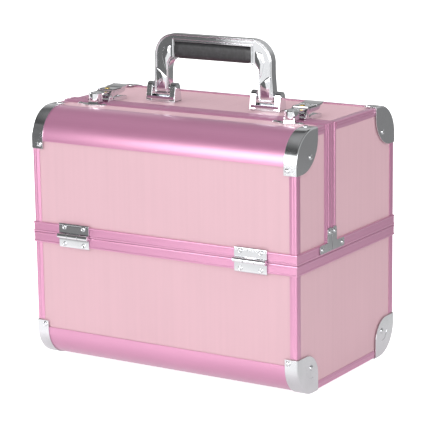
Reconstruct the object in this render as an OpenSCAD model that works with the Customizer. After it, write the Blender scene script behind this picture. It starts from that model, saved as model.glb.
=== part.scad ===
/* [Case] */
// Width of the case over its corner posts
case_w = 320; // [310:1:340]
// Depth of the case from front to rear
case_d = 208; // [204:1:216]
// Height of the case without its feet
case_h = 270; // [266:1:280]
// Height of the base below the lid seam
base_h = 138; // [134:1:140]
// Depth of the front lid, from the front face to the split
front_lid_d = 69.5; // [67:0.5:74]
// Radius of the long rounded edge extrusions
edge_r = 32; // [30:1:34]
// Thickness of the panels
panel_t = 3; // [2.5:0.5:3]
// Height of the rubber feet
foot_h = 3; // [3:0.5:6]

/* [Frame] */
// Height of the rims on either side of the seam
rim_h = 11; // [10:0.5:12]
// Width of the rims on either side of the split
split_rim_w = 12; // [10:0.5:13]
// Width of the trims along the straight edges
trim_w = 9; // [8:0.5:10]
// Size of the steel corner caps
cap_size = 42; // [40:1:44]

/* [Hardware] */
// Distance of the seam hinges from the middle
hinge_x = 108; // [90:1:112]
// Distance of the latches from the middle
latch_x = 120; // [112:1:124]
// Distance of the handle brackets from the middle
bracket_x = 64.5; // [63:0.5:66]
// Height of the handle over the top of the case
handle_h = 73; // [66:1:76]

/* [Trays] */
// Height of the lower trays
lower_tray_h = 36; // [30:1:36]
// Height of the upper trays
upper_tray_h = 40; // [30:1:40]
// Depth of the front trays
front_tray_d = 78; // [76:1:79]
// Depth of the rear trays
rear_tray_d = 103; // [98:1:103]

/* [Hidden] */
$fn = 48;

pink = [0.93, 0.80, 0.83];
anodised = [0.85, 0.58, 0.78];
steel = [0.80, 0.81, 0.83];
dark = [0.10, 0.10, 0.11];
velvet = [0.16, 0.14, 0.16];
brass = [0.80, 0.66, 0.32];

// Half sizes of the case, the heights of its seam and top, and the split
hw = case_w / 2;
hd = case_d / 2;
z0 = foot_h;
seam = z0 + base_h;
top = z0 + case_h;
split = -hd + front_lid_d;        // place of the split between the lids along Y
rear_lid_d = case_d - front_lid_d;

// Panels lie 1 mm behind the trims, and the rims and caps stand 1 mm proud of them
recess = 1;
proud = 1;
lining_t = 1;
panel_in = recess + panel_t;      // inset of the panels' inner faces
lining_in = panel_in + lining_t;  // inset of the lining's inner faces
rim_wall = 2;
rim_in = lining_in + 1.5;         // inset of the rims' inner faces
gap = 0.15;                       // half the gap at the seam and at the split

// Seam hinges: the axis stands in front of the rims' faces
axis_out = 3;
axis_y = hd + proud + axis_out;
knuckle_r = 2.7;
pin_r = 1.2;
leaf_w = 38;
leaf_h = 13;
leaf_t = 1.2;
knuckle_gap = 0.3;

// Tray linkage, measured from a seam hinge's axis: inwards, then up
pivot_a = [40, -8];
pivot_b = pivot_a + [18, 2.5];
arm_v = [29, 96];
lower_share = 0.5;
drive_at = [36.5, 18.2];
tray_x = hw - 10.2;               // half width of the trays
arm_x = tray_x + 0.5;             // inner face of the arms
arm_t = 1.5;
plate_x = arm_x + arm_t + 0.2;    // inner face of the pivot plates
stud_r = 2;
arm_w = 8;
tray_wall = 1.6;
tray_start = 14;                  // from the hinge axis to a tray's outer wall
lower_tray_z = seam + 20;
upper_tray_z = seam + 64;

// Latch: places along Y and Z that the lever, hook and strike share
latch_pivot = [split + 4.2, top + 4.7];
hook_pivot = [split + 8.2, top + 9];
roll_at = [split - 11.5, top + 3.3];
roll_r = 2.1;
latch_end = split + 35;           // where the lever's deck ends
deck_z = top + 11;                // underside of the deck
barrel_at = split + 13.5;
plate_t = 1.2;                    // steel plates of the latches
lever_pin_r = 1.5;
hook_pin_r = 1.2;
turn_gap = 0.06;                  // between a pin and the hole that turns on it

// Handle: the axis through the brackets
handle_pivot = [4.5, top + 14];
bracket_w = 36;
bracket_d = 15;
ear_t = 4.5;
ear_top = 9;                      // width of an ear at its top
handle_pin_r = 2;
bail_t = 8;

// ---- helpers ----

module both_sides() { children(); mirror([1, 0, 0]) children(); }
module both_ends() { children(); mirror([0, 1, 0]) children(); }
module rear() { mirror([0, 1, 0]) children(); }

// A block between two corners
module block(low, high) { translate(low) cube(high - low); }

// A bar of a Y-Z outline between two places along X
module along_x(x1, x2) {
    translate([x1, 0, 0]) rotate([90, 0, 90]) linear_extrude(x2 - x1) children();
}

// A round bar along X
module rod(x1, x2, at, r) { along_x(x1, x2) translate(at) circle(r); }

// The case's Y-Z outline, set in by a distance
module outline(inset) {
    r = edge_r - inset;
    y = hd - inset;
    z1 = z0 + inset;
    z2 = top - inset;
    translate([-y, z1 + r]) square([2 * y, z2 - z1 - 2 * r]);
    translate([-y + r, z1]) square([2 * (y - r), z2 - z1]);
    for (cy = [-y + r, y - r], cz = [z1 + r, z2 - r]) translate([cy, cz]) circle(r, $fn = 96);
}

// Everything in front of the split, for a lid of this depth, above the seam
module lid_space(depth, back = 0, up = 0) {
    block([-hw - 20, -hd - 20, seam + gap + up], [hw + 20, -hd + depth - gap - back, top + 20]);
}

// ---- shapes shared by the base and the lids ----

// A quarter-round extrusion along the lower front edge
module edge_profile() {
    along_x(-hw + panel_in, hw - panel_in) intersection() {
        difference() { outline(0); outline(panel_in); }
        translate([-hd, z0]) square(edge_r);
    }
}

// The L-shaped corner post at the right front corner
module post(z1, z2) {
    block([hw - trim_w, -hd, z1], [hw, -hd + recess, z2]);
    block([hw - recess, -hd, z1], [hw, -hd + trim_w, z2]);
}

// The L-shaped trim along the lower right edge
module side_trim(y1, y2) {
    block([hw - trim_w, y1, z0], [hw, y2, z0 + recess]);
    block([hw - recess, y1, z0], [hw, y2, z0 + trim_w]);
}

// The steel cap on the lower right front corner: a band over the rounding and a side lobe
module corner_cap() {
    lobe_r = 28;
    along_x(hw - 16, hw + proud) intersection() {
        difference() { outline(-proud); outline(0); }
        translate([-hd - proud, z0 - proud]) square(cap_size + proud);
    }
    block([hw - 16, -hd, z0 + edge_r], [hw - recess, -hd + recess, z0 + cap_size]);
    along_x(hw - recess, hw + proud) intersection() {
        outline(-proud);
        union() {
            translate([-hd - proud, z0 - proud]) square([cap_size + proud, cap_size + proud - lobe_r]);
            translate([-hd - proud, z0 - proud]) square([cap_size + proud - lobe_r, cap_size + proud]);
            translate([-hd + cap_size - lobe_r, z0 + cap_size - lobe_r]) circle(lobe_r);
        }
    }
}

// A ring that follows the case's plan between two insets
module plan_ring(inset1, inset2, z1, z2) {
    difference() {
        block([-hw + inset1, -hd + inset1, z1], [hw - inset1, hd - inset1, z2]);
        block([-hw + inset2, -hd + inset2, z1 - 1], [hw - inset2, hd - inset2, z2 + 1]);
    }
}

// The channel that closes the top of the base's walls; the lids' rims are its mirror
module rim() {
    face = seam - gap;
    difference() {
        plan_ring(-proud, rim_in, seam - rim_h, face);
        plan_ring(recess, lining_in, seam - rim_h - 1, face - rim_wall);
        // two shallow grooves along the outer face
        for (z = [0.35, 0.7])
            plan_ring(-proud - 1, -proud + 0.5, seam - z * rim_h - 0.6, seam - z * rim_h + 0.6);
    }
}

// A domed rivet with its foot at the origin, its head along +Z
rivet_r = 2.2;
module rivet() {
    cylinder(r = rivet_r, h = 0.6);
    translate([0, 0, 0.6]) cylinder(r1 = rivet_r, r2 = rivet_r / 2, h = 0.7, $fn = 24);
}
module front_rivet(x, z, y) { translate([x, y, z]) rotate([90, 0, 0]) rivet(); }
module side_rivet(x, y, z) { translate([x, y, z]) rotate([0, 90, 0]) rivet(); }

// Two leaf rivets of one hinge, this far above or below the seam
module leaf_rivets(up) {
    for (x = [-12, 12]) front_rivet(hinge_x + x, seam + up, -hd - proud - leaf_t);
}

// Three rivets of the lower right front cap: in front, at the side and underneath
module cap_rivets() {
    front_rivet(hw - 10, z0 + cap_size - 5, -hd - proud);
    side_rivet(hw + proud, -hd + 27, z0 + 27);
    translate([hw - 10, -hd + cap_size - 5, z0 - proud]) mirror([0, 0, 1]) rivet();
}

// Upside down about the case's middle height: the base's lower shapes become the lids' upper ones
module upturned() { translate([0, 0, z0 + top]) mirror([0, 0, 1]) children(); }
// Upside down about the seam
module over_seam() { translate([0, 0, 2 * seam]) mirror([0, 0, 1]) children(); }

// A hinge leaf on the base's front face, with the knuckles between these places along its width
module base_leaf(knuckles) {
    y_face = -hd - proud;
    difference() {
        union() {
            block([-leaf_w / 2, y_face - leaf_t, seam - leaf_h], [leaf_w / 2, y_face, seam - 2.6]);
            for (k = knuckles) {
                rod(k[0], k[1], [-axis_y, seam], knuckle_r);
                block([k[0], -axis_y, seam - 2.7], [k[1], y_face, seam - 0.4]);
            }
        }
        rod(-leaf_w, leaf_w, [-axis_y, seam], pin_r);
    }
}
third = leaf_w / 6;
outer_knuckles = [[-leaf_w / 2, -third - knuckle_gap], [third + knuckle_gap, leaf_w / 2]];
inner_knuckle = [[-third, third]];
module lid_leaf() {
    over_seam() difference() {
        base_leaf(inner_knuckle);
        rod(-leaf_w, leaf_w, [-axis_y, seam], pin_r + turn_gap);
    }
}

// ---- base ----

module base_front_panel() {
    color(pink) block([-hw + panel_in, -hd + recess, z0 + edge_r],
                      [hw - panel_in, -hd + panel_in, seam - gap - rim_wall]);
}
module base_rear_panel() { rear() base_front_panel(); }
module base_side_panels() {
    color(pink) both_sides() intersection() {
        along_x(hw - panel_in, hw - recess) outline(recess);
        block([0, -hd, 0], [hw, hd, seam - gap - rim_wall]);
    }
}
module base_bottom_panel() {
    y = hd - edge_r;
    color(pink) block([-hw + panel_in, -y, z0 + recess], [hw - panel_in, y, z0 + panel_in]);
}
module base_edge_profiles() { color(anodised) both_ends() edge_profile(); }
module base_edge_trims() {
    color(anodised) both_sides() {
        both_ends() post(z0 + cap_size, seam - rim_h);
        side_trim(-hd + cap_size, hd - cap_size);
    }
}
module base_rim() { color(anodised) rim(); }
module base_corner_caps() { color(steel) both_sides() both_ends() corner_cap(); }
module base_feet() {
    color(dark) both_sides() both_ends()
        translate([hw - 35, -hd + 48, 0]) cylinder(r = 8, h = z0 + recess);
}

// The lining of a space between two heights: a thin skin inside the panels
module lining_shell() {
    difference() {
        along_x(-hw + panel_in, hw - panel_in) outline(panel_in);
        along_x(-hw + lining_in, hw - lining_in) outline(lining_in);
    }
}
module base_lining() {
    color(velvet) intersection() {
        lining_shell();
        block([-hw, -hd, 0], [hw, hd, seam - gap - rim_wall]);
    }
}
module base_hinge_leaves() {
    color(steel) both_sides() both_ends() translate([hinge_x, 0, 0]) base_leaf(outer_knuckles);
}
module hinge_pins() {
    color(steel) both_sides() both_ends()
        rod(hinge_x - leaf_w / 2, hinge_x + leaf_w / 2, [-axis_y, seam], pin_r);
}

// Where a place in the front linkage lies in Y and Z
function at(p) = [-axis_y + p[0], seam + p[1]];

module tray_pivot_plates() {
    color(steel) both_sides() both_ends() {
        along_x(plate_x, hw - rim_in) translate(at([pivot_a[0] - 10, -22])) square([38, 21]);
        for (p = [pivot_a, pivot_b]) rod(arm_x - 0.2, plate_x, at(p), stud_r);
    }
}
module base_rivets() {
    color(steel) both_sides() both_ends() { leaf_rivets(-9); cap_rivets(); }
}

// ---- lids; each module builds a lid on the front hinge with the given depth ----

module lid_hinge_panel() {
    color(pink) block([-hw + panel_in, -hd + recess, seam + gap + rim_wall],
                      [hw - panel_in, -hd + panel_in, top - edge_r]);
}
module lid_top_panel(depth) {
    color(pink) block([-hw + panel_in, -hd + edge_r, top - panel_in],
                      [hw - panel_in, -hd + depth - gap - rim_wall, top - recess]);
}
module lid_side_panels(depth) {
    color(pink) both_sides() intersection() {
        along_x(hw - panel_in, hw - recess) outline(recess);
        lid_space(depth, rim_wall, rim_wall);
    }
}
module lid_edge_profile() { color(anodised) upturned() edge_profile(); }
module lid_edge_trims(depth) {
    color(anodised) both_sides() {
        post(seam + rim_h, top - cap_size);
        upturned() side_trim(-hd + cap_size, -hd + depth - gap - split_rim_w);
    }
}
module lid_rim(depth) { color(anodised) intersection() { over_seam() rim(); lid_space(depth); } }

// The arch along the split: an outer leg, a web and an inner leg
module arch(inset, z1) {
    block([-hw + inset, -hd, z1], [hw - inset, hd, top - inset]);
}
module lid_split_rim(depth) {
    y2 = -hd + depth - gap;
    color(anodised) difference() {
        intersection() {
            arch(-proud, seam + rim_h);
            block([-hw - 9, y2 - split_rim_w, 0], [hw + 9, y2, top + 9]);
        }
        arch(rim_in, seam - 1);
        difference() {
            arch(recess, seam - 1);
            arch(lining_in, seam - 2);
            block([-hw, y2 - rim_wall, 0], [hw, hd, top]);
        }
    }
}
module lid_corner_caps() { color(steel) both_sides() upturned() corner_cap(); }

// A steel L over the foot of the split rim and the seam rim
bracket_leg = 9;
module lid_split_brackets(depth) {
    y2 = -hd + depth - 0.4;
    x = hw + proud;
    color(steel) both_sides() {
        block([x, y2 - bracket_leg, seam + 2], [x + 1, y2, seam + 26]);
        block([x, y2 - 25, seam + 2], [x + 1, y2 - bracket_leg, seam + 2 + bracket_leg]);
    }
}
module lid_lining(depth) {
    color(velvet) intersection() { lining_shell(); lid_space(depth, rim_wall, rim_wall); }
}
module lid_hinge_leaves() { color(steel) both_sides() translate([hinge_x, 0, 0]) lid_leaf(); }
module lid_rivets(depth) {
    y2 = -hd + depth - 0.4;
    color(steel) both_sides() {
        leaf_rivets(9);
        upturned() cap_rivets();
        side_rivet(hw + proud + 1, y2 - bracket_leg / 2, seam + 21.5);
        side_rivet(hw + proud + 1, y2 - 20.5, seam + 2 + bracket_leg / 2);
    }
}
module lid_drive_studs() {
    color(steel) both_sides() {
        rod(arm_x - 0.2, hw - lining_in, at(drive_at), stud_r);
        rod(hw - lining_in - 0.8, hw - lining_in, at(drive_at), 5);
    }
}

module front_lid_front_panel() { lid_hinge_panel(); }
module front_lid_top_panel() { lid_top_panel(front_lid_d); }
module front_lid_side_panels() { lid_side_panels(front_lid_d); }
module front_lid_edge_profile() { lid_edge_profile(); }
module front_lid_edge_trims() { lid_edge_trims(front_lid_d); }
module front_lid_rim() { lid_rim(front_lid_d); }
module front_lid_split_rim() { lid_split_rim(front_lid_d); }
module front_lid_corner_caps() { lid_corner_caps(); }
module front_lid_split_brackets() { lid_split_brackets(front_lid_d); }
module front_lid_lining() { lid_lining(front_lid_d); }
module front_lid_hinge_leaves() { lid_hinge_leaves(); }
module front_lid_rivets() { lid_rivets(front_lid_d); }
module front_lid_drive_studs() { lid_drive_studs(); }

module rear_lid_rear_panel() { rear() lid_hinge_panel(); }
module rear_lid_top_panel() { rear() lid_top_panel(rear_lid_d); }
module rear_lid_side_panels() { rear() lid_side_panels(rear_lid_d); }
module rear_lid_edge_profile() { rear() lid_edge_profile(); }
module rear_lid_edge_trims() { rear() lid_edge_trims(rear_lid_d); }
module rear_lid_rim() { rear() lid_rim(rear_lid_d); }
module rear_lid_split_rim() { rear() lid_split_rim(rear_lid_d); }
module rear_lid_corner_caps() { rear() lid_corner_caps(); }
module rear_lid_split_brackets() { rear() lid_split_brackets(rear_lid_d); }
module rear_lid_lining() { rear() lid_lining(rear_lid_d); }
module rear_lid_hinge_leaves() { rear() lid_hinge_leaves(); }
module rear_lid_rivets() { rear() lid_rivets(rear_lid_d); }
module rear_lid_drive_studs() { rear() lid_drive_studs(); }

// ---- latches, built for the right side ----

module latch_strikes() {
    plate_z = top - recess;
    y2 = split - split_rim_w - gap;
    half = 18;
    roll_half = 9;
    color(steel) both_sides() translate([latch_x, 0, 0]) {
        block([-half, y2 - 12, plate_z], [half, y2, plate_z + plate_t]);
        block([-roll_half, roll_at[0] - roll_r, plate_z], [roll_half, y2, roll_at[1]]);
        rod(-roll_half, roll_half, roll_at, roll_r);
    }
}
module latch_bases() {
    y1 = split + gap;
    rim_y = y1 + split_rim_w;
    half = 11.2;
    cheek = 3.5;
    rim_top = top + proud;
    color(steel) both_sides() translate([latch_x, 0, 0]) {
        difference() {
            union() {
                block([-half, rim_y, top - recess], [half, latch_end, rim_top + plate_t]);
                block([-half, y1 + 0.5, rim_top], [half, rim_y, rim_top + plate_t]);
                for (x = [-half, half - plate_t])
                    block([x, latch_pivot[0] - cheek, rim_top],
                          [x + plate_t, latch_pivot[0] + cheek, top + 8]);
            }
            rod(-half - 1, half + 1, latch_pivot, lever_pin_r);
        }
        rod(-half, half, latch_pivot, lever_pin_r);
    }
}
module latch_lever() {
    deck = deck_z;
    half = 9.5;
    ear = 2.2;
    flange = half - plate_t;
    color(steel) {
        difference() {
            union() {
                block([-half, hook_pivot[0] + 2.2, deck], [half, latch_end, deck + 1.4]);
                for (x = [-half, flange]) {
                    block([x, latch_pivot[0] - ear, deck - 4.5], [x + plate_t, latch_end - 1, deck]);
                    block([x, latch_pivot[0] - ear, latch_pivot[1]],
                          [x + plate_t, latch_pivot[0] + ear, deck]);
                    rod(x, x + plate_t, latch_pivot, ear);
                }
                // the raised finger tab
                block([-8, latch_end, deck], [8, latch_end + 5, deck + 2.4]);
            }
            rod(-half - 1, half + 1, latch_pivot, lever_pin_r + turn_gap);
        }
        rod(-flange, flange, hook_pivot, hook_pin_r);
    }
}
module lock_barrel() {
    color(brass) translate([0, barrel_at, deck_z + 1.4]) cylinder(r = 2.8, h = 0.8);
}
module latch_hook() {
    front = roll_at[0] - roll_r - 0.5;
    half = 8;
    z2 = top + 10.6;
    color(steel) difference() {
        union() {
            block([-half, front - plate_t, z2 - 1.4], [half, hook_pivot[0], z2]);
            block([-half, front - plate_t, roll_at[1] - 1.4], [half, front, z2]);
            rod(-half, half, hook_pivot, 2);
        }
        rod(-half - 1, half + 1, hook_pivot, hook_pin_r + turn_gap);
    }
}
module right() { translate([latch_x, 0, 0]) children(); }
module left() { mirror([1, 0, 0]) right() children(); }
module right_latch_lever() { right() latch_lever(); }
module right_lock_barrel() { right() lock_barrel(); }
module right_latch_hook() { right() latch_hook(); }
module left_latch_lever() { left() latch_lever(); }
module left_lock_barrel() { left() lock_barrel(); }
module left_latch_hook() { left() latch_hook(); }

// ---- handle ----

module handle_brackets() {
    foot = top - recess;
    y = handle_pivot[0];
    color(steel) both_sides() translate([bracket_x, 0, 0]) difference() {
        union() {
            block([-bracket_w / 2, y - bracket_d / 2, foot], [bracket_w / 2, y + bracket_d / 2, foot + 4]);
            for (x = [-bracket_w / 2, bracket_w / 2 - ear_t]) along_x(x, x + ear_t)
                polygon([[y - bracket_d / 2, foot], [y + bracket_d / 2, foot],
                         [y + ear_top / 2, foot + 21], [y - ear_top / 2, foot + 21]]);
        }
        rod(-bracket_w, bracket_w, handle_pivot, handle_pin_r);
    }
}
module handle_pins() {
    color(steel) both_sides()
        rod(bracket_x - bracket_w / 2, bracket_x + bracket_w / 2, handle_pivot, handle_pin_r);
}

// The bail's front outline: a rail with round corners on two legs that narrow towards the pins
rail_top = top + handle_h;
rail_t = 8;
grip_h = 18;
bail_w = 72;
corner_r = 24;
leg_half = 9;
leg_foot = 6;                     // from the pin down to the end of a leg
web_w = 25;                       // width of a leg at the height of the grip
function arc(centre, r, a1, a2, steps = 16) =
    [for (i = [0:steps]) centre + r * [cos(a1 + (a2 - a1) * i / steps), sin(a1 + (a2 - a1) * i / steps)]];
module bail_outline() {
    foot = handle_pivot[1] - leg_foot;
    web_x = bail_w - web_w;
    right_half = concat(
        [[web_x, rail_top - rail_t], [web_x, rail_top - rail_t - grip_h],
         [bracket_x - leg_half, foot + 2 * leg_foot], [bracket_x - leg_half, foot],
         [bracket_x + leg_half, foot], [bracket_x + leg_half, foot + 2 * leg_foot]],
        arc([bail_w - corner_r, rail_top - corner_r], corner_r, 0, 90));
    left_half = [for (i = [len(right_half) - 1:-1:0]) [-right_half[i][0], right_half[i][1]]];
    polygon(concat(right_half, left_half));
}
module handle_bail() {
    y = handle_pivot[0];
    color(steel) difference() {
        translate([0, y + bail_t / 2, 0]) rotate([90, 0, 0]) linear_extrude(bail_t) bail_outline();
        rod(-hw, hw, handle_pivot, handle_pin_r + turn_gap);
    }
}
module handle_grip() {
    y = handle_pivot[0];
    x = bail_w - web_w;
    half = 6;
    color(dark) block([-x, y - half, rail_top - rail_t - grip_h], [x, y + half, rail_top - rail_t]);
}

// ---- trays and their arms, built for the front ----

// A flat bar between two pivots, with round ends
module bar(p, q, w = arm_w) {
    d = q - p;
    len = norm(d);
    translate(p) rotate(atan2(d[1], d[0])) {
        translate([0, -w / 2]) square([len, w]);
        circle(w / 2);
        translate([len, 0]) circle(w / 2);
    }
}
// Slot for the drive stud: it runs outwards from the pivot through the stud
slot_dir = (drive_at - pivot_a) / norm(drive_at - pivot_a);
slot_far = 76.5;
module arms_a() {
    color(steel) both_sides() along_x(arm_x, arm_x + arm_t) difference() {
        union() {
            bar(at(pivot_a), at(pivot_a + arm_v));
            bar(at(pivot_a), at(pivot_a + slot_dir * slot_far), arm_w + 1.2);
        }
        bar(at(drive_at), at(pivot_a + slot_dir * slot_far), 2 * (stud_r + 0.15));
        for (p = [pivot_a, pivot_a + lower_share * arm_v, pivot_a + arm_v])
            translate(at(p)) circle(stud_r + turn_gap);
    }
}
module arms_b() {
    color(steel) both_sides() along_x(arm_x, arm_x + arm_t) difference() {
        bar(at(pivot_b), at(pivot_b + arm_v));
        translate(at(pivot_b)) circle(stud_r + turn_gap);
        for (p = [pivot_b + lower_share * arm_v, pivot_b + arm_v])
            translate(at(p)) circle(stud_r + 0.3);
    }
}
module tray(depth, height, z, share) {
    y1 = -axis_y + tray_start;
    color(velvet) {
        difference() {
            block([-tray_x, y1, z], [tray_x, y1 + depth, z + height]);
            for (s = [-1, 1]) {
                x1 = min(s * tray_wall / 2, s * (tray_x - tray_wall));
                x2 = max(s * tray_wall / 2, s * (tray_x - tray_wall));
                block([x1, y1 + tray_wall, z + tray_wall], [x2, y1 + depth - tray_wall, z + height + 1]);
            }
        }
    }
    color(steel) both_sides() for (p = [pivot_a, pivot_b])
        rod(tray_x, arm_x + arm_t + 0.1, at(p + share * arm_v), stud_r);
}
module front_arms_a() { arms_a(); }
module front_arms_b() { arms_b(); }
module rear_arms_a() { rear() arms_a(); }
module rear_arms_b() { rear() arms_b(); }
module front_lower_tray() { tray(front_tray_d, lower_tray_h, lower_tray_z, lower_share); }
module front_upper_tray() { tray(front_tray_d, upper_tray_h, upper_tray_z, 1); }
module rear_lower_tray() { rear() tray(rear_tray_d, lower_tray_h, lower_tray_z, lower_share); }
module rear_upper_tray() { rear() tray(rear_tray_d, upper_tray_h, upper_tray_z, 1); }

base_front_panel();
base_rear_panel();
base_side_panels();
base_bottom_panel();
base_edge_profiles();
base_edge_trims();
base_rim();
base_corner_caps();
base_feet();
base_lining();
base_hinge_leaves();
hinge_pins();
tray_pivot_plates();
base_rivets();
front_lid_front_panel();
front_lid_top_panel();
front_lid_side_panels();
front_lid_edge_profile();
front_lid_edge_trims();
front_lid_rim();
front_lid_split_rim();
front_lid_corner_caps();
front_lid_split_brackets();
front_lid_lining();
latch_strikes();
front_lid_hinge_leaves();
front_lid_rivets();
front_lid_drive_studs();
rear_lid_rear_panel();
rear_lid_top_panel();
rear_lid_side_panels();
rear_lid_edge_profile();
rear_lid_edge_trims();
rear_lid_rim();
rear_lid_split_rim();
rear_lid_corner_caps();
rear_lid_split_brackets();
rear_lid_lining();
latch_bases();
rear_lid_hinge_leaves();
rear_lid_rivets();
rear_lid_drive_studs();
handle_brackets();
handle_bail();
handle_grip();
handle_pins();
left_latch_lever();
left_lock_barrel();
left_latch_hook();
right_latch_lever();
right_lock_barrel();
right_latch_hook();
front_arms_a();
front_arms_b();
rear_arms_a();
rear_arms_b();
front_lower_tray();
front_upper_tray();
rear_lower_tray();
rear_upper_tray();
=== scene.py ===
"""Finished surfaces and fittings of a makeup train case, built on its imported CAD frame."""

import math

import bmesh
import bpy
from mathutils import Matrix, Vector


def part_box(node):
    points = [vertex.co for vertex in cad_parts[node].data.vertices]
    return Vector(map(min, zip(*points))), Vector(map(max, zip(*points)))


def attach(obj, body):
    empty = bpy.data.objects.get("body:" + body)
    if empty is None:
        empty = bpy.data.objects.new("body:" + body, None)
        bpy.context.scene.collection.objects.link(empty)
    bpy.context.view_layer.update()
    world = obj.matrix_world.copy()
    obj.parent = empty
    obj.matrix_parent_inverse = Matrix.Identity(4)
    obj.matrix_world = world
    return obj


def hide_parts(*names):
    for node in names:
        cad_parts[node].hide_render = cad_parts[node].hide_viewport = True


bl_info = {
    "name": "Makeup Train Case",
    "version": (1, 0, 0),
    "blender": (4, 5, 0),
    "location": "3D View > Sidebar > Train Case",
    "description": "Builds the panels, rails, fittings and trays of a makeup train case",
    "category": "Object",
}

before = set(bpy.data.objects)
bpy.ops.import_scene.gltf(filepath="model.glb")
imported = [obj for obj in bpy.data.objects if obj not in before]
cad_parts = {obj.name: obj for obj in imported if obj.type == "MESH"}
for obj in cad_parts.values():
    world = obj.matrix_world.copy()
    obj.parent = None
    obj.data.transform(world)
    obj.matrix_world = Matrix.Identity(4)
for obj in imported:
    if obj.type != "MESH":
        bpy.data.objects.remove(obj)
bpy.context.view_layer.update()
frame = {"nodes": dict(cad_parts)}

# ---- places and sizes, from the frame ----

MM = 0.001


def low(node):
    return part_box(node)[0]


def high(node):
    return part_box(node)[1]


PROUD = 1 * MM  # rims and caps over the shell
RECESS = 1 * MM  # panels under the shell
SPLIT_GAP = 0.15 * MM
PANEL_IN = 4 * MM  # from the shell to the inner face of a panel
HALF_W = high("base_rim").x - PROUD
HALF_D = high("base_rim").y - PROUD
SEAM = high("base_rim").z + SPLIT_GAP
RIM_H = SEAM - low("base_rim").z
SHELL_LOW = low("base_edge_profiles").z
SHELL_TOP = high("front_lid_edge_profile").z
EDGE_R = low("base_front_panel").z - SHELL_LOW
CAP_H = high("base_corner_caps").z - SHELL_LOW
SPLIT = high("front_lid_split_rim").y + SPLIT_GAP
SPLIT_RIM_W = SPLIT - SPLIT_GAP - low("front_lid_split_rim").y
RIM_IN = PANEL_IN + 2.5 * MM  # from the shell to the inner face of a rim
TRIM_W = 8.5 * MM
LEAF_HALF = 19 * MM
HINGE_PIN_R = 1.2 * MM
HINGE_X = -low("hinge_pins").x - LEAF_HALF
HINGE_Y = high("hinge_pins").y - HINGE_PIN_R
BRACKET_EDGE = SPLIT - 0.4 * MM  # where the L brackets end at the split
CAP_RIVET_IN = 27 * MM  # from the shell's edges to a cap's side rivet
LATCH_X = (low("right_latch_hook").x + high("right_latch_hook").x) / 2
LEVER_PIN = (SPLIT + 4.2 * MM, SHELL_TOP + 4.7 * MM)
HOOK_PIN = (high("right_latch_hook").y - 2 * MM, SHELL_TOP + 9 * MM)
DECK_T = 1.4 * MM
DECK_LOW = low("right_lock_barrel").z - DECK_T
PIN_Z = (low("handle_pins").z + high("handle_pins").z) / 2
BRACKET_HALF = 18 * MM
BRACKET_X = high("handle_pins").x - BRACKET_HALF
GRIP_LOW, GRIP_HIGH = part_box("handle_grip")
BAIL_TOP = high("handle_bail").z
HANDLE_Y = (low("handle_bail").y + high("handle_bail").y) / 2
BAIL_HALF = 4.6 * MM
TRAY_HALF = 149.8 * MM
ARM_PIVOTS = ((40 * MM, -8 * MM), (58 * MM, -5.5 * MM))  # inwards from a hinge's axis, and up
ARM_REACH = (29 * MM, 96 * MM)  # from an arm's pivot to its end: inwards, and up
FOOT_R = 8 * MM
UPSIDE_DOWN = Matrix.Translation((0, 0, SHELL_LOW + SHELL_TOP)) @ Matrix.Scale(-1, 4, (0, 0, 1))
OVER_SEAM = Matrix.Translation((0, 0, 2 * SEAM)) @ Matrix.Scale(-1, 4, (0, 0, 1))
TO_REAR = Matrix.Scale(-1, 4, (0, 1, 0))
OVER_SPLIT = Matrix.Translation((0, 2 * SPLIT, 0)) @ TO_REAR
# each lid, how a front piece gets to it, how a piece beside the split gets to it, and its split
LIDS = (("front_lid", Matrix(), Matrix(), SPLIT), ("rear_lid", TO_REAR, OVER_SPLIT, -SPLIT))


class CaseColours(bpy.types.PropertyGroup):
    """Colours of the finishes."""

    panel: bpy.props.FloatVectorProperty(
        name="Panels", description="Laminate of the panels", subtype="COLOR", size=3,
        default=(0.735, 0.465, 0.525), min=0, max=1)
    frame: bpy.props.FloatVectorProperty(
        name="Frame", description="Anodised rails, rims and trims", subtype="COLOR", size=3,
        default=(0.71, 0.28, 0.48), min=0, max=1)
    steel: bpy.props.FloatVectorProperty(
        name="Steel", description="Plated fittings", subtype="COLOR", size=3,
        default=(0.80, 0.81, 0.83), min=0, max=1)
    lock: bpy.props.FloatVectorProperty(
        name="Locks", description="Brass lock barrels", subtype="COLOR", size=3,
        default=(0.78, 0.58, 0.20), min=0, max=1)
    grip: bpy.props.FloatVectorProperty(
        name="Grip", description="Leather of the handle grip", subtype="COLOR", size=3,
        default=(0.022, 0.022, 0.024), min=0, max=1)
    lining: bpy.props.FloatVectorProperty(
        name="Lining", description="Pile of the lining and the trays", subtype="COLOR", size=3,
        default=(0.030, 0.026, 0.030), min=0, max=1)


class CaseSizes(bpy.types.PropertyGroup):
    """Sizes of the fine details."""

    rib_pitch: bpy.props.FloatProperty(
        name="Rib pitch", description="Distance between the fine ribs of the panels",
        default=1.1 * MM, min=0.5 * MM, max=3 * MM, unit="LENGTH", precision=5)
    soft_edge: bpy.props.FloatProperty(
        name="Soft edge", description="Rounding of the rails' edges",
        default=0.22 * MM, min=0.05 * MM, max=0.4 * MM, unit="LENGTH", precision=5)
    cap_fold: bpy.props.FloatProperty(
        name="Cap fold", description="Radius of the fold between a cap's band and its side lobe",
        default=2.2 * MM, min=1 * MM, max=3 * MM, unit="LENGTH", precision=5)
    rivet_radius: bpy.props.FloatProperty(
        name="Rivet radius", description="Radius of a rivet's head",
        default=2.6 * MM, min=1.5 * MM, max=3 * MM, unit="LENGTH", precision=5)
    tray_wall: bpy.props.FloatProperty(
        name="Tray wall", description="Thickness of the trays' walls",
        default=1.6 * MM, min=1.2 * MM, max=2.5 * MM, unit="LENGTH", precision=5)


# ---- shapes ----


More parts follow.
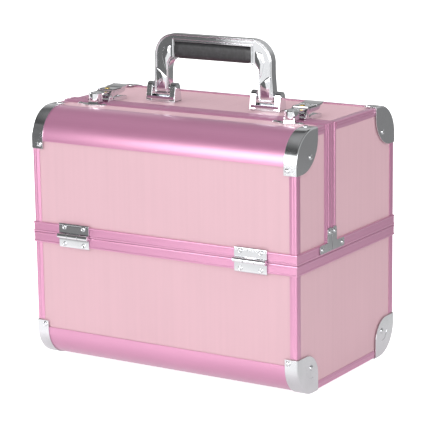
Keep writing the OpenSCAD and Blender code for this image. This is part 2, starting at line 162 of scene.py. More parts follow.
def arc(centre, radius, start, end, steps=12):
    """Points of an arc between two angles in degrees, both ends included."""
    angles = [math.radians(start + (end - start) * i / steps) for i in range(steps + 1)]
    return [(centre[0] + radius * math.cos(a), centre[1] + radius * math.sin(a)) for a in angles]


def rounded(corners, radius, steps=5):
    """An outline through these corners, each rounded by its radius. A radius may be one for all."""
    points = []
    count = len(corners)
    radii = radius if isinstance(radius, (list, tuple)) else [radius] * count
    for i, corner in enumerate(corners):
        here = Vector(corner)
        before = (Vector(corners[i - 1]) - here).normalized()
        after = (Vector(corners[(i + 1) % count]) - here).normalized()
        if radii[i] <= 0:
            points.append(tuple(here))
            continue
        half = before.angle(after) / 2
        reach = radii[i] / math.tan(half)
        for k in range(steps + 1):
            t = k / steps
            a = here + before * reach * (1 - t) ** 2 + after * reach * t ** 2
            points.append(tuple(a))
    return points


def placed(axis, point, along):
    """A point of an outline across an axis, at a place along that axis."""
    u, v = point
    return {"X": (along, u, v), "Y": (u, along, v), "Z": (u, v, along)}[axis]


def bar(bm, axis, outline, start, end):
    """A bar of this outline between two places along an axis. Returns its vertices."""
    first = [bm.verts.new(placed(axis, p, start)) for p in outline]
    made = bmesh.ops.extrude_face_region(bm, geom=[bm.faces.new(first)])["geom"]
    last = [v for v in made if isinstance(v, bmesh.types.BMVert)]
    bmesh.ops.translate(bm, verts=last, vec=placed(axis, (0, 0), end - start))
    return first + last


def block(bm, start, end):
    """A block between two corners."""
    start, end = Vector(start), Vector(end)
    size = end - start
    where = Matrix.Translation((start + end) / 2) @ Matrix.Diagonal((*size, 1))
    return bmesh.ops.create_cube(bm, size=1, matrix=where)["verts"]


def rod(bm, start, end, radius, end_radius=None, segments=32):
    """A round rod between two points, tapered if it has an end radius."""
    start, end = Vector(start), Vector(end)
    turn = (end - start).to_track_quat("Z", "Y").to_matrix().to_4x4()
    return bmesh.ops.create_cone(
        bm, cap_ends=True, segments=segments, radius1=radius,
        radius2=radius if end_radius is None else end_radius,
        depth=(end - start).length, matrix=Matrix.Translation((start + end) / 2) @ turn)["verts"]


def turned(bm, profile, foot, direction, steps=28):
    """A turned shape: (radius, height) pairs spun about a line from its foot."""
    up = Vector(direction)
    side = up.orthogonal().normalized()
    points = [bm.verts.new(Vector(foot) + side * r + up * h) for r, h in profile]
    edges = [bm.edges.new(pair) for pair in zip(points, points[1:])]
    bmesh.ops.spin(bm, geom=points + edges, cent=foot, axis=up, angle=math.tau,
                   steps=steps, use_merge=True)


def cut(bm, verts, corner, normal):
    """Cuts what these vertices hold at a plane and drops what lies beyond it."""
    faces = {f for v in verts for f in v.link_faces}
    edges = {e for v in verts for e in v.link_edges}
    bmesh.ops.bisect_plane(bm, geom=list(verts) + list(edges) + list(faces),
                           plane_co=corner, plane_no=normal, clear_outer=True)


def mirrored(bm, *axes):
    """Adds the mirror image of everything built so far, across each axis in turn."""
    for axis in axes:
        whole = bm.verts[:] + bm.edges[:] + bm.faces[:]
        bmesh.ops.mirror(bm, geom=whole, axis=axis, merge_dist=0)


def moved(bm, matrix):
    """Moves or turns everything built so far."""
    bmesh.ops.transform(bm, matrix=matrix, verts=bm.verts[:])
    return bm


def finish_piece(name, bm, finish, body, nodes=(), soft_edge=0.0, crease=38,
                 segments=2):
    """Turns a built mesh into a piece in a named finish that rides on a body and stands for CAD nodes."""
    bmesh.ops.remove_doubles(bm, verts=bm.verts[:], dist=0.002 * MM)
    bmesh.ops.recalc_face_normals(bm, faces=bm.faces[:])
    mesh = bpy.data.meshes.new(name)
    bm.to_mesh(mesh)
    bm.free()
    if not mesh.polygons:
        raise RuntimeError(f"{name} has no faces")
    mesh.polygons.foreach_set("use_smooth", [True] * len(mesh.polygons))
    mesh.set_sharp_from_angle(angle=math.radians(crease))
    mesh.materials.append(FINISHES[finish])
    piece = bpy.data.objects.new(name, mesh)
    bpy.context.scene.collection.objects.link(piece)
    if soft_edge:
        bevel = piece.modifiers.new("Soft edges", "BEVEL")
        bevel.width = soft_edge
        bevel.segments = segments
        bevel.limit_method = "ANGLE"
        bevel.angle_limit = math.radians(crease)
        bevel.harden_normals = True
    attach(piece, body)
    if nodes:
        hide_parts(*nodes)
    return piece


# ---- finishes ----


def add_node(tree, kind, inputs=None, **settings):
    """A shader node with these settings, and its inputs set or linked."""
    made = tree.nodes.new("ShaderNode" + kind)
    for key, value in settings.items():
        setattr(made, key, value)
    for socket, value in (inputs or {}).items():
        if isinstance(value, bpy.types.NodeSocket):
            tree.links.new(value, made.inputs[socket])
        else:
            made.inputs[socket].default_value = value
    return made


def new_finish(name, colour, metallic, roughness, **sockets):
    """A material with its shader's plain values. Returns the material, its tree and its shader."""
    material = bpy.data.materials.new(name)
    material.use_nodes = True
    shader = material.node_tree.nodes["Principled BSDF"]
    shader.inputs["Base Color"].default_value = (*colour, 1)
    shader.inputs["Metallic"].default_value = metallic
    shader.inputs["Roughness"].default_value = roughness
    for socket, value in sockets.items():
        shader.inputs[socket.replace("_", " ")].default_value = value
    material.diffuse_color = (*colour, 1)
    return material, material.node_tree, shader


def place(tree, stretch=(1, 1, 1)):
    """Object coordinates, stretched along each axis."""
    coordinates = add_node(tree, "TexCoord").outputs["Object"]
    return add_node(tree, "Mapping", {"Vector": coordinates, "Scale": stretch}).outputs["Vector"]


def noise(tree, where, scale, detail=2.0):
    """Noise from 0 to 1."""
    return add_node(tree, "TexNoise", {"Vector": where, "Scale": scale, "Detail": detail}).outputs[0]


def spread(tree, value, start, end, lowest=0.0, highest=1.0):
    """Maps a value between lowest and highest onto the range from start to end."""
    return add_node(tree, "MapRange", {"Value": value, "From Min": lowest, "From Max": highest,
                                       "To Min": start, "To Max": end}).outputs["Result"]


def blend(tree, factor, first, second):
    """A colour between two colours."""
    mix = add_node(tree, "Mix", data_type="RGBA")
    for socket, value in ((mix.inputs[0], factor), (mix.inputs[6], first), (mix.inputs[7], second)):
        if isinstance(value, bpy.types.NodeSocket):
            tree.links.new(value, socket)
        else:
            socket.default_value = (*value, 1)
    return mix.outputs[2]


def emboss(tree, height, strength, depth, under=None):
    """A bump from a height, over another bump if there is one."""
    inputs = {"Height": height, "Strength": strength, "Distance": depth}
    if under is not None:
        inputs["Normal"] = under
    return add_node(tree, "Bump", inputs).outputs["Normal"]


def worn_edges(tree, radius):
    """How close a place is to a worn edge, from 0 to 1."""
    soft = add_node(tree, "Bevel", {"Radius": radius}, samples=4).outputs["Normal"]
    plain = add_node(tree, "NewGeometry").outputs["Normal"]
    match = add_node(tree, "VectorMath", {0: soft, 1: plain}, operation="DOT_PRODUCT").outputs["Value"]
    return spread(tree, match, 1.0, 0.0, 0.75, 0.99)


def wire(made, colour, roughness, normal):
    """Links a new finish's colour, roughness and normal to its shader. Returns the material."""
    material, tree, shader = made
    for socket, value in (("Base Color", colour), ("Roughness", roughness), ("Normal", normal)):
        tree.links.new(value, shader.inputs[socket])
    return material


def tint(colour, amount):
    """A colour made lighter or darker."""
    return tuple(min(1.0, c * amount) for c in colour)


def ribbed_laminate(name, colour, across, pitch):
    """Satin plastic laminate with fine ribs that follow each other along one axis."""
    made = new_finish(name, colour, 0.0, 0.42)
    tree = made[1]
    turn = {"X": (1, 0.02, 0.02), "Y": (0.02, 1, 0.02)}[across]
    wave = add_node(tree, "TexWave", {"Vector": place(tree), "Scale": math.pi / (10 * pitch),
                                      "Distortion": 0.6, "Detail": 1.0, "Detail Scale": 0.4},
                    wave_type="BANDS", bands_direction=across).outputs["Fac"]
    streaks = noise(tree, place(tree, turn), 260, 3)
    cloud = noise(tree, place(tree), 14, 2)
    speck = noise(tree, place(tree), 2600, 2)
    ribs = blend(tree, spread(tree, wave, 0.0, 0.16), colour, tint(colour, 0.82))
    streaked = blend(tree, spread(tree, streaks, 0.0, 0.32, 0.35, 0.7), ribs, tint(colour, 0.90))
    body = blend(tree, spread(tree, cloud, 0.0, 0.25, 0.4, 0.7), streaked, tint(colour, 1.05))
    under = emboss(tree, wave, 0.35, 0.06 * MM)
    return wire(made, body, spread(tree, streaks, 0.36, 0.50),
                emboss(tree, speck, 0.10, 0.03 * MM, under))


def satin_anodised(name, colour, lines):
    """Anodised aluminium with drawn lines: lines is how fast they vary along each axis."""
    made = new_finish(name, colour, 0.55, 0.38, Coat_Weight=1.0, Coat_IOR=1.95,
                      Coat_Roughness=0.30)
    tree = made[1]
    drawn = noise(tree, place(tree, lines), 1.0, 3)
    cloud = noise(tree, place(tree), 9, 2)
    body = blend(tree, spread(tree, drawn, 0.0, 0.30, 0.3, 0.7), colour, tint(colour, 0.86))
    body = blend(tree, spread(tree, cloud, 0.0, 0.22, 0.35, 0.75), body, tint(colour, 1.12))
    wear = worn_edges(tree, 0.5 * MM)
    bright = tuple(0.5 * c + 0.5 for c in colour)
    body = blend(tree, spread(tree, wear, 0.0, 0.45), body, bright)
    return wire(made, body, spread(tree, drawn, 0.32, 0.42), emboss(tree, drawn, 0.12, 0.03 * MM))


def plated_steel(name, colour, roughness, waviness):
    """Nickel-plated steel, with smudges, fine scratches and a slightly uneven face."""
    made = new_finish(name, colour, 1.0, roughness)
    tree = made[1]
    smudge = noise(tree, place(tree), 55, 3)
    scratch = noise(tree, place(tree, (1, 0.08, 1)), 900, 2)
    uneven = noise(tree, place(tree), 42, 1)
    wear = worn_edges(tree, 0.4 * MM)
    body = blend(tree, spread(tree, smudge, 0.0, 0.5, 0.35, 0.7), colour, tint(colour, 0.90))
    body = blend(tree, spread(tree, wear, 0.0, 0.5), body, tint(colour, 1.12))
    under = emboss(tree, uneven, waviness, 0.5 * MM)
    return wire(made, body, spread(tree, smudge, roughness * 0.75, roughness * 1.6, 0.3, 0.75),
                emboss(tree, scratch, 0.05, 0.02 * MM, under))


def lock_brass(name, colour):
    """Polished brass with small stains."""
    made = new_finish(name, colour, 1.0, 0.22)
    tree = made[1]
    stain = noise(tree, place(tree), 420, 3)
    return wire(made, blend(tree, stain, colour, tint(colour, 0.7)), spread(tree, stain, 0.16, 0.34),
                emboss(tree, stain, 0.15, 0.04 * MM))


def grained_leather(name, colour):
    """Black leather with a fine pebble grain and rubbed high spots."""
    made = new_finish(name, colour, 0.0, 0.42, Coat_Weight=0.25, Coat_Roughness=0.35)
    tree = made[1]
    pebble = add_node(tree, "TexVoronoi", {"Vector": place(tree), "Scale": 950, "Smoothness": 0.6},
                      feature="SMOOTH_F1").outputs["Distance"]
    crease = noise(tree, place(tree), 320, 4)
    rubbed = blend(tree, spread(tree, crease, 0.0, 0.6, 0.45, 0.75), colour, tint(colour, 2.4))
    under = emboss(tree, pebble, 0.35, 0.12 * MM)
    return wire(made, rubbed, spread(tree, crease, 0.34, 0.52),
                emboss(tree, crease, 0.18, 0.10 * MM, under))


def short_pile(name, colour, scale):
    """Flocked cloth: a soft, dark pile that lies this way and that."""
    made = new_finish(name, colour, 0.0, 0.92, Sheen_Weight=0.6, Sheen_Roughness=0.45)
    tree = made[1]
    pile = noise(tree, place(tree), scale, 4)
    patch = noise(tree, place(tree), 24, 3)
    body = blend(tree, spread(tree, pile, 0.0, 0.8, 0.3, 0.7), tint(colour, 0.65), tint(colour, 1.5))
    body = blend(tree, spread(tree, patch, 0.0, 0.5, 0.4, 0.7), body, tint(colour, 1.9))
    return wire(made, body, spread(tree, pile, 0.84, 1.0), emboss(tree, pile, 0.6, 0.25 * MM))


def brushed_zinc(name, colour):
    """Zinc-plated strip steel, brushed along its length."""
    made = new_finish(name, colour, 1.0, 0.34)
    tree = made[1]
    brushed = noise(tree, place(tree, (1, 0.35, 1)), 1500, 3)
    spangle = noise(tree, place(tree), 130, 2)
    body = blend(tree, spread(tree, spangle, 0.0, 0.6, 0.35, 0.7), colour, tint(colour, 0.82))
    return wire(made, body, spread(tree, brushed, 0.26, 0.44), emboss(tree, brushed, 0.12, 0.03 * MM))


def moulded_rubber(name):
    """Matte black rubber with a fine moulded texture and scuffs."""
    colour = (0.020, 0.020, 0.021)
    made = new_finish(name, colour, 0.0, 0.75)
    tree = made[1]
    scuff = noise(tree, place(tree), 300, 4)
    body = blend(tree, spread(tree, scuff, 0.0, 0.7, 0.5, 0.8), colour, tint(colour, 3.0))
    return wire(made, body, spread(tree, scuff, 0.65, 0.88), emboss(tree, scuff, 0.25, 0.1 * MM))


FINISHES = {}


def make_finishes(colours, sizes):
    """Every finish of the case, by its plain name."""
    panel, rail, steel = tuple(colours.panel), tuple(colours.frame), tuple(colours.steel)
    fast, slow = 1400.0, 3.0
    FINISHES.update(
        panel_across_x=ribbed_laminate("ribbed_laminate_front", panel, "X", sizes.rib_pitch),
        panel_across_y=ribbed_laminate("ribbed_laminate_side", panel, "Y", sizes.rib_pitch),
        rail_along_x=satin_anodised("anodised_rail", rail, (slow, fast, fast)),
        rail_along_y=satin_anodised("anodised_side_trim", rail, (fast, slow, fast)),
        rail_along_z=satin_anodised("anodised_post", rail, (fast, fast, slow)),
        rim_round=satin_anodised("anodised_rim", rail, (slow, slow, fast)),
        rim_arch=satin_anodised("anodised_arch", rail, (slow, fast, slow)),
        chrome=plated_steel("bright_chrome", steel, 0.07, 0.10),
        cap_steel=plated_steel("pressed_cap_steel", steel, 0.15, 0.05),
        bracket_steel=plated_steel("plated_bracket_steel", tint(steel, 0.8), 0.26, 0.10),
        zinc=brushed_zinc("brushed_zinc", tint(steel, 0.72)),
        brass=lock_brass("lock_brass", tuple(colours.lock)),
        leather=grained_leather("grained_leather", tuple(colours.grip)),
        lining=short_pile("lining_pile", tuple(colours.lining), 1500),
        flock=short_pile("tray_flock", tint(tuple(colours.lining), 1.25), 2400),
        rubber=moulded_rubber("foot_rubber"),
    )


def paint_nodes(finish, *nodes):
    """Gives CAD nodes that stay a named finish."""
    for name in nodes:
        materials = frame["nodes"][name].data.materials
        materials.clear()
        materials.append(FINISHES[finish])


# ---- rails and rims ----


def profile_outline():
    """The lower front edge extrusion across its length, with a thin lip over each panel."""
    lip = 1.8 * MM
    centre = (-HALF_D + EDGE_R, SHELL_LOW + EDGE_R)
    return ([(-HALF_D, centre[1] + lip)]
            + arc(centre, EDGE_R, 180, 270, 28)
            + [(centre[0] + lip, SHELL_LOW), (centre[0] + lip, SHELL_LOW + RECESS),
               (centre[0], SHELL_LOW + RECESS)]
            + arc(centre, EDGE_R - PANEL_IN, 270, 180, 28)
            + [(-HALF_D + RECESS, centre[1]), (-HALF_D + RECESS, centre[1] + lip)])


def edge_profile():
    """The lower front edge extrusion."""
    bm = bmesh.new()
    length = HALF_W - PANEL_IN
    bar(bm, "X", profile_outline(), -length, length)
    return bm


def angle_outline(width):
    """An L-shaped trim about a rounded corner at the origin, in distances inwards along both faces.
    Each leg has a low step at its free edge and a shallow groove in its middle."""
    bend = 1.6 * MM
    leg = [(width, RECESS), (width, 0.6 * MM), (0.92 * width, 0.3 * MM), (0.72 * width, 0.3 * MM),
           (0.66 * width, 0), (0.50 * width, 0), (0.46 * width, 0.2 * MM), (0.42 * width, 0.2 * MM),
           (0.38 * width, 0)]
    corner = arc((bend, bend), bend, 270, 180, 8)
    return leg + corner + [(q, p) for p, q in reversed(leg)] + [(RECESS, RECESS)]


def corner_post(bm, start, end):
    """The L-shaped post at the right front corner."""
    outline = [(HALF_W - p, -HALF_D + q) for p, q in angle_outline(TRIM_W)]
    bar(bm, "Z", outline, start, end)


def side_trim(bm, start, end, top=False):
    """The L-shaped trim along the right lower or upper edge."""
    level = SHELL_TOP if top else SHELL_LOW
    inwards = -1 if top else 1
    outline = [(HALF_W - p, level + inwards * q) for p, q in angle_outline(TRIM_W)]
    bar(bm, "Y", outline, start, end)


def rim_outline():
    """The base's rim channel across its length: (outwards from the shell, height)."""
    top = SEAM - SPLIT_GAP
    foot = SEAM - RIM_H
    return [(0.3 * MM, foot), (0.8 * MM, foot + 0.15 * MM), (PROUD, foot + 0.5 * MM),
            (PROUD, foot + 1.6 * MM), (0.55 * MM, foot + 2.1 * MM),
            (0.55 * MM, top - 2.2 * MM), (PROUD, top - 1.8 * MM), (PROUD, top - 0.35 * MM),
            (0.75 * MM, top), (-RIM_IN, top), (-RIM_IN, foot), (-5 * MM, foot),
            (-5 * MM, top - 2 * MM), (-RECESS, top - 2 * MM), (-RECESS, foot)]


def rim_ring(end):
    """The rim from the front round both sides to a place along Y, or right round if end is None."""
    bm = bmesh.new()
    outline = rim_outline()
    spare = 8 * MM
    front = bar(bm, "X", [(-HALF_D - o, z) for o, z in outline], -HALF_W - spare, HALF_W + spare)
    for side in (1, -1):
        cut(bm, [v for v in front if v.is_valid], (side * HALF_W, -HALF_D, 0), (side, 1, 0))
        front = bm.verts[:]
    if end is None:
        back = bar(bm, "X", [(HALF_D + o, z) for o, z in outline], -HALF_W - spare, HALF_W + spare)
        for side in (1, -1):
            cut(bm, back, (side * HALF_W, HALF_D, 0), (side, -1, 0))
            back = [v for v in bm.verts if v.co.y > 0]
    for side in (1, -1):
        known = set(bm.verts)
        far = HALF_D + spare if end is None else end
        bar(bm, "Y", [(side * (HALF_W + o), z) for o, z in outline], -HALF_D - spare, far)
        cut(bm, [v for v in bm.verts if v not in known], (side * HALF_W, -HALF_D, 0), (-side, -1, 0))
        if end is None:
            cut(bm, [v for v in bm.verts if v not in known], (side * HALF_W, HALF_D, 0), (-side, 1, 0))
    return bm


def arch_outline():
    """The split rim across its length: (outwards from the shell, distance from the split)."""
    width = SPLIT_RIM_W
    return [(-RECESS, width), (-0.7 * MM, width), (0.1 * MM, width - 1.6 * MM),
            (-0.5 * MM, width - 2.1 * MM), (0.6 * MM, width - 3.0 * MM),
            (0.9 * MM, width - 3.8 * MM), (0.9 * MM, width - 4.9 * MM),
            (0.4 * MM, width - 5.5 * MM), (-0.3 * MM, width - 5.8 * MM), (-0.3 * MM, width - 6.5 * MM),
            (0.7 * MM, width - 7.1 * MM), (PROUD, width - 7.8 * MM), (PROUD, 2.2 * MM), (0.5 * MM, 1.1 * MM),
            (-0.4 * MM, 0), (-RIM_IN, 0), (-RIM_IN, width),
            (-5 * MM, width), (-5 * MM, 2 * MM), (-RECESS, 2 * MM)]


def split_arch():
    """The front lid's split rim: two legs and a bar across the top, mitred."""
    bm = bmesh.new()
    spare = 8 * MM
    foot = SEAM + RIM_H
    edge = SPLIT - SPLIT_GAP
    outline = arch_outline()
    bar(bm, "X", [(edge - w, SHELL_TOP + o) for o, w in outline], -HALF_W - spare, HALF_W + spare)
    for side in (1, -1):
        cut(bm, bm.verts[:], (side * HALF_W, 0, SHELL_TOP), (side, 0, -1))
    for side in (1, -1):
        known = set(bm.verts)
        bar(bm, "Z", [(side * (HALF_W + o), edge - w) for o, w in outline], foot, SHELL_TOP + spare)
        cut(bm, [v for v in bm.verts if v not in known], (side * HALF_W, 0, SHELL_TOP), (-side, 0, 1))
    return bm


# ---- corner caps ----


def corner_cap(fold, lobe_radius, height, beaded):
    """The pressed cap on the lower right front corner, with an embossed arc if it is beaded.
    A bent strip is drawn down the front, spun round the corner and drawn back underneath."""
    bm = bmesh.new()
    skin = 0.85 * MM
    band = 15 * MM
    outer_x = HALF_W + PROUD
    centre = Vector((0, -HALF_D + EDGE_R, SHELL_LOW + EDGE_R))
    face_y = -HALF_D - PROUD
    tip = SHELL_LOW + height
    strip = [(outer_x - band, 0)]
    strip += [(outer_x - fold + fold * math.sin(a), fold - fold * math.cos(a))
              for a in [math.pi / 2 * k / 6 for k in range(7)]]
    verts = [bm.verts.new((x, face_y + inset, tip)) for x, inset in strip]
    edges = [bm.edges.new(pair) for pair in zip(verts, verts[1:])]
    fold_end = verts[-1]
    chain = [fold_end]

    def draw(edges, offset):
        made = bmesh.ops.extrude_edge_only(bm, edges=edges)["geom"]
        new = [v for v in made if isinstance(v, bmesh.types.BMVert)]
        bmesh.ops.translate(bm, verts=new, vec=offset)
        chain.append(max(new, key=lambda v: (v.co.x, -abs(v.co.y - centre.y))))
        return [e for e in made if isinstance(e, bmesh.types.BMEdge)]

    edges = draw(edges, (0, 0, centre.z - tip))
    steps = 22
    for _ in range(steps):
        made = bmesh.ops.spin(bm, geom=edges, cent=centre, axis=(1, 0, 0), angle=math.pi / 2 / steps,
                              steps=1, use_merge=False)["geom_last"]
        edges = [e for e in made if isinstance(e, bmesh.types.BMEdge)]
        ends = [v for v in made if isinstance(v, bmesh.types.BMVert)]
        chain.append(max(ends, key=lambda v: (round(v.co.x, 7), -(v.co - centre).yz.length)))
    edges = draw(edges, (0, -HALF_D + height - centre.y, 0))

    # the lobe's free edge runs from the drawn-back end round to the tip
    far_y, far_z = -HALF_D + height, tip
    bend = arc((far_y - lobe_radius, far_z - lobe_radius), lobe_radius, 0, 90, 18)
    start_y = face_y + fold
    free = bend + [(start_y + 1 * MM, far_z)]
    lobe = chain + [bm.verts.new((outer_x, y, z)) for y, z in free]
    bm.faces.new(lobe)
    bmesh.ops.remove_doubles(bm, verts=bm.verts[:], dist=0.002 * MM)
    bmesh.ops.recalc_face_normals(bm, faces=bm.faces[:])
    flat = max(bm.faces, key=lambda f: f.calc_area())
    if flat.normal.x < 0:
        bmesh.ops.reverse_faces(bm, faces=bm.faces[:])
    bmesh.ops.solidify(bm, geom=bm.faces[:], thickness=skin)

    if not beaded:
        return bm

    # embossed bead round the side rivet, ending at the free edge
    bead = 0.25 * MM
    rivet_y, rivet_z = -HALF_D + CAP_RIVET_IN, SHELL_LOW + CAP_RIVET_IN
    radius = 11 * MM
    ring = [bm.verts.new((outer_x + bead * math.cos(a), rivet_y - radius - bead * 1.6 * math.sin(a), rivet_z))
            for a in [math.tau * k / 8 for k in range(8)]]
    round_edges = [bm.edges.new((ring[k], ring[(k + 1) % 8])) for k in range(8)]
    bead_end = bm.faces.new(ring)
    bmesh.ops.spin(bm, geom=[bead_end] + round_edges + ring, cent=(0, rivet_y, rivet_z), axis=(1, 0, 0),
                   angle=math.radians(105), steps=20, use_merge=False)
    return bm


# ---- rivets ----


def dome_profile(radius):
    """A riveted dome on a thin flange: (radius, height) pairs."""
    dome = [(radius * math.cos(a), 0.2 * MM + 1.25 * MM * math.sin(a))
            for a in [math.pi / 2 * k / 6 for k in range(7)]]
    flange = radius + 0.5 * MM
    return [(0, 0), (flange, 0), (flange, 0.3 * MM), (radius + 0.3 * MM, 0.3 * MM),
            (radius + 0.1 * MM, 0.05 * MM)] + dome[:-1] + [(0, dome[-1][1])]


def ring_profile(radius):
    """A rolled tubular rivet with an open middle."""
    roll = [(radius * 0.68 + radius * 0.32 * math.cos(a), 0.25 * MM + 0.7 * MM * math.sin(a))
            for a in [math.pi * k / 8 for k in range(9)]]
    return [(0, 0), (radius, 0)] + roll + [(radius * 0.30, 0.1 * MM), (0, 0.1 * MM)]


def hinge_rivets(bm, radius, up):
    """Four rivets of the two front leaves, above or below the seam."""
    for side in (-1, 1):
        for x in (-12 * MM, 12 * MM):
            foot = (side * HINGE_X + x, -HALF_D - PROUD - 1.2 * MM, SEAM + up)
            turned(bm, ring_profile(radius), foot, (0, -1, 0))


def cap_rivets(bm, radius):
    """Rivets of the two lower front caps."""
    inwards = CAP_H - 5 * MM
    for side in (-1, 1):
        x = side * (HALF_W - 10 * MM)
        turned(bm, dome_profile(radius), (x, -HALF_D - PROUD, SHELL_LOW + inwards), (0, -1, 0))
        turned(bm, dome_profile(radius), (x, -HALF_D + inwards, SHELL_LOW - PROUD), (0, 0, -1))
        foot = (side * (HALF_W + PROUD), -HALF_D + CAP_RIVET_IN, SHELL_LOW + CAP_RIVET_IN)
        turned(bm, dome_profile(radius), foot, (side, 0, 0))


def bracket_rivets(bm, radius):
    """Rivets of the front lid's two split brackets."""
    places = ((BRACKET_EDGE - 4.5 * MM, SEAM + 21.5 * MM), (BRACKET_EDGE - 20.5 * MM, SEAM + 6.5 * MM))
    for side in (-1, 1):
        for y, z in places:
            turned(bm, dome_profile(radius * 0.8), (side * (HALF_W + PROUD + 1 * MM), y, z), (side, 0, 0))


# ---- hinges and brackets ----


def leaf_outline(lid):
    """A leaf across its width: (outwards from the rim's face, height below or above the seam)."""
    t = 1.2 * MM
    far = 13 * MM
    if lid:
        return [(0, 2.6 * MM), (t, 2.6 * MM), (t, far - 2.9 * MM), (t - 0.55 * MM, far - 2.5 * MM),
                (t - 0.55 * MM, far - 1.8 * MM), (t, far - 1.4 * MM), (t, far - 0.5 * MM),
                (t - 0.5 * MM, far), (0, far)]
    return [(0, 2.6 * MM), (t, 2.6 * MM), (t, far - 3.0 * MM), (0.35 * MM, far - 0.2 * MM), (0, far)]


def knuckle(bm, start, end):
    """A rolled knuckle about the front hinge line with its neck, between two places along X."""
    y, r = -HINGE_Y, 2.7 * MM
    rod(bm, (start, y, SEAM), (end, y, SEAM), r, segments=40)
    face = -HALF_D - PROUD
    neck = [(y - 0.6 * MM, SEAM - r + 0.05 * MM), (y + 2 * MM, SEAM - r),
            (face - 1.2 * MM, SEAM - 3.4 * MM), (face, SEAM - 3.4 * MM), (face, SEAM - 0.5 * MM),
            (y, SEAM - 0.5 * MM)]
    bar(bm, "X", neck, start, end)


def front_leaves(lid):
    """The two front leaves of the base, or of the lid, before the lid's are turned over the seam."""
    bm = bmesh.new()
    half = LEAF_HALF
    third = half / 3
    gap = 0.3 * MM
    face = -HALF_D - PROUD
    for side in (-1, 1):
        x = side * HINGE_X
        outline = [(face - o, SEAM - h) for o, h in leaf_outline(lid)]
        bar(bm, "X", outline, x - half, x + half)
        spans = [(-third, third)] if lid else [(-half, -third - gap), (third + gap, half)]
        for start, end in spans:
            knuckle(bm, x + start, x + end)
    return bm


def hinge_pin_set():
    """Pins of the four hinges, with low domed ends."""
    bm = bmesh.new()
    half, r = LEAF_HALF, HINGE_PIN_R
    for side in (-1, 1):
        for y in (-HINGE_Y, HINGE_Y):
            x = side * HINGE_X
            rod(bm, (x - half, y, SEAM), (x + half, y, SEAM), r, segments=20)
            for way in (-1, 1):
                dome = [(0, 0), (1.9 * MM, 0), (1.7 * MM, 0.25 * MM), (1.0 * MM, 0.5 * MM), (0, 0.6 * MM)]
                turned(bm, dome, (x + way * half, y, SEAM), (way, 0, 0), 20)
    return bm


def split_bracket():
    """The front lid's L-shaped corner brackets, right and left."""
    bm = bmesh.new()
    edge = BRACKET_EDGE
    leg = 9 * MM
    foot = SEAM + 2 * MM
    corners = [(edge, foot), (edge, foot + 24 * MM), (edge - leg, foot + 24 * MM), (edge - leg, foot + leg),
               (edge - 25 * MM, foot + leg), (edge - 25 * MM, foot)]
    outline = rounded(corners, [1 * MM, 3 * MM, 3 * MM, 1.5 * MM, 3 * MM, 3 * MM])
    bar(bm, "X", outline, HALF_W + PROUD, HALF_W + PROUD + 1 * MM)
    mirrored(bm, "X")
    return bm


# ---- latches ----


def strike_plates():
    """The catch plates on the front lid: an eared plate, a curled catch and two screws each."""
    bm = bmesh.new()
    plate_low = low("latch_strikes").z
    plate_high = plate_low + 1.2 * MM
    back = SPLIT - SPLIT_GAP - SPLIT_RIM_W
    ear, nose = 2.9 * MM, 10.2 * MM
    ear_x, ear_y = 15.1 * MM, back - 3.2 * MM
    roll = 2.1 * MM  # radius of the curled catch
    roll_y = low("right_latch_hook").y + 1.7 * MM + roll
    roll_z = high("latch_strikes").z - roll
    for x in (-LATCH_X, LATCH_X):
        outline = ([(x - ear_x + 2 * MM, back)]
                   + arc((x - ear_x, ear_y), ear, 110, 262, 10)
                   + arc((x, back - 1.4 * MM), nose, 218, 322, 16)
                   + arc((x + ear_x, ear_y), ear, -82, 70, 10)
                   + [(x + ear_x - 2 * MM, back)])
        bar(bm, "Z", outline, plate_low, plate_high)
        half = 6.3 * MM
        riser = [(roll_y - roll, plate_low), (roll_y - roll, roll_z), (back, roll_z), (back, plate_low)]
        bar(bm, "X", riser, x - half, x + half)
        rod(bm, (x - half, roll_y, roll_z), (x + half, roll_y, roll_z), roll, segments=28)
        for way in (-1, 1):
            head = [(0, 0), (2.3 * MM, 0), (2.1 * MM, 0.4 * MM), (1.2 * MM, 0.85 * MM), (0, 0.95 * MM)]
            turned(bm, head, (x + way * (ear_x - 0.3 * MM), ear_y, plate_high), (0, 0, 1), 24)
    return bm


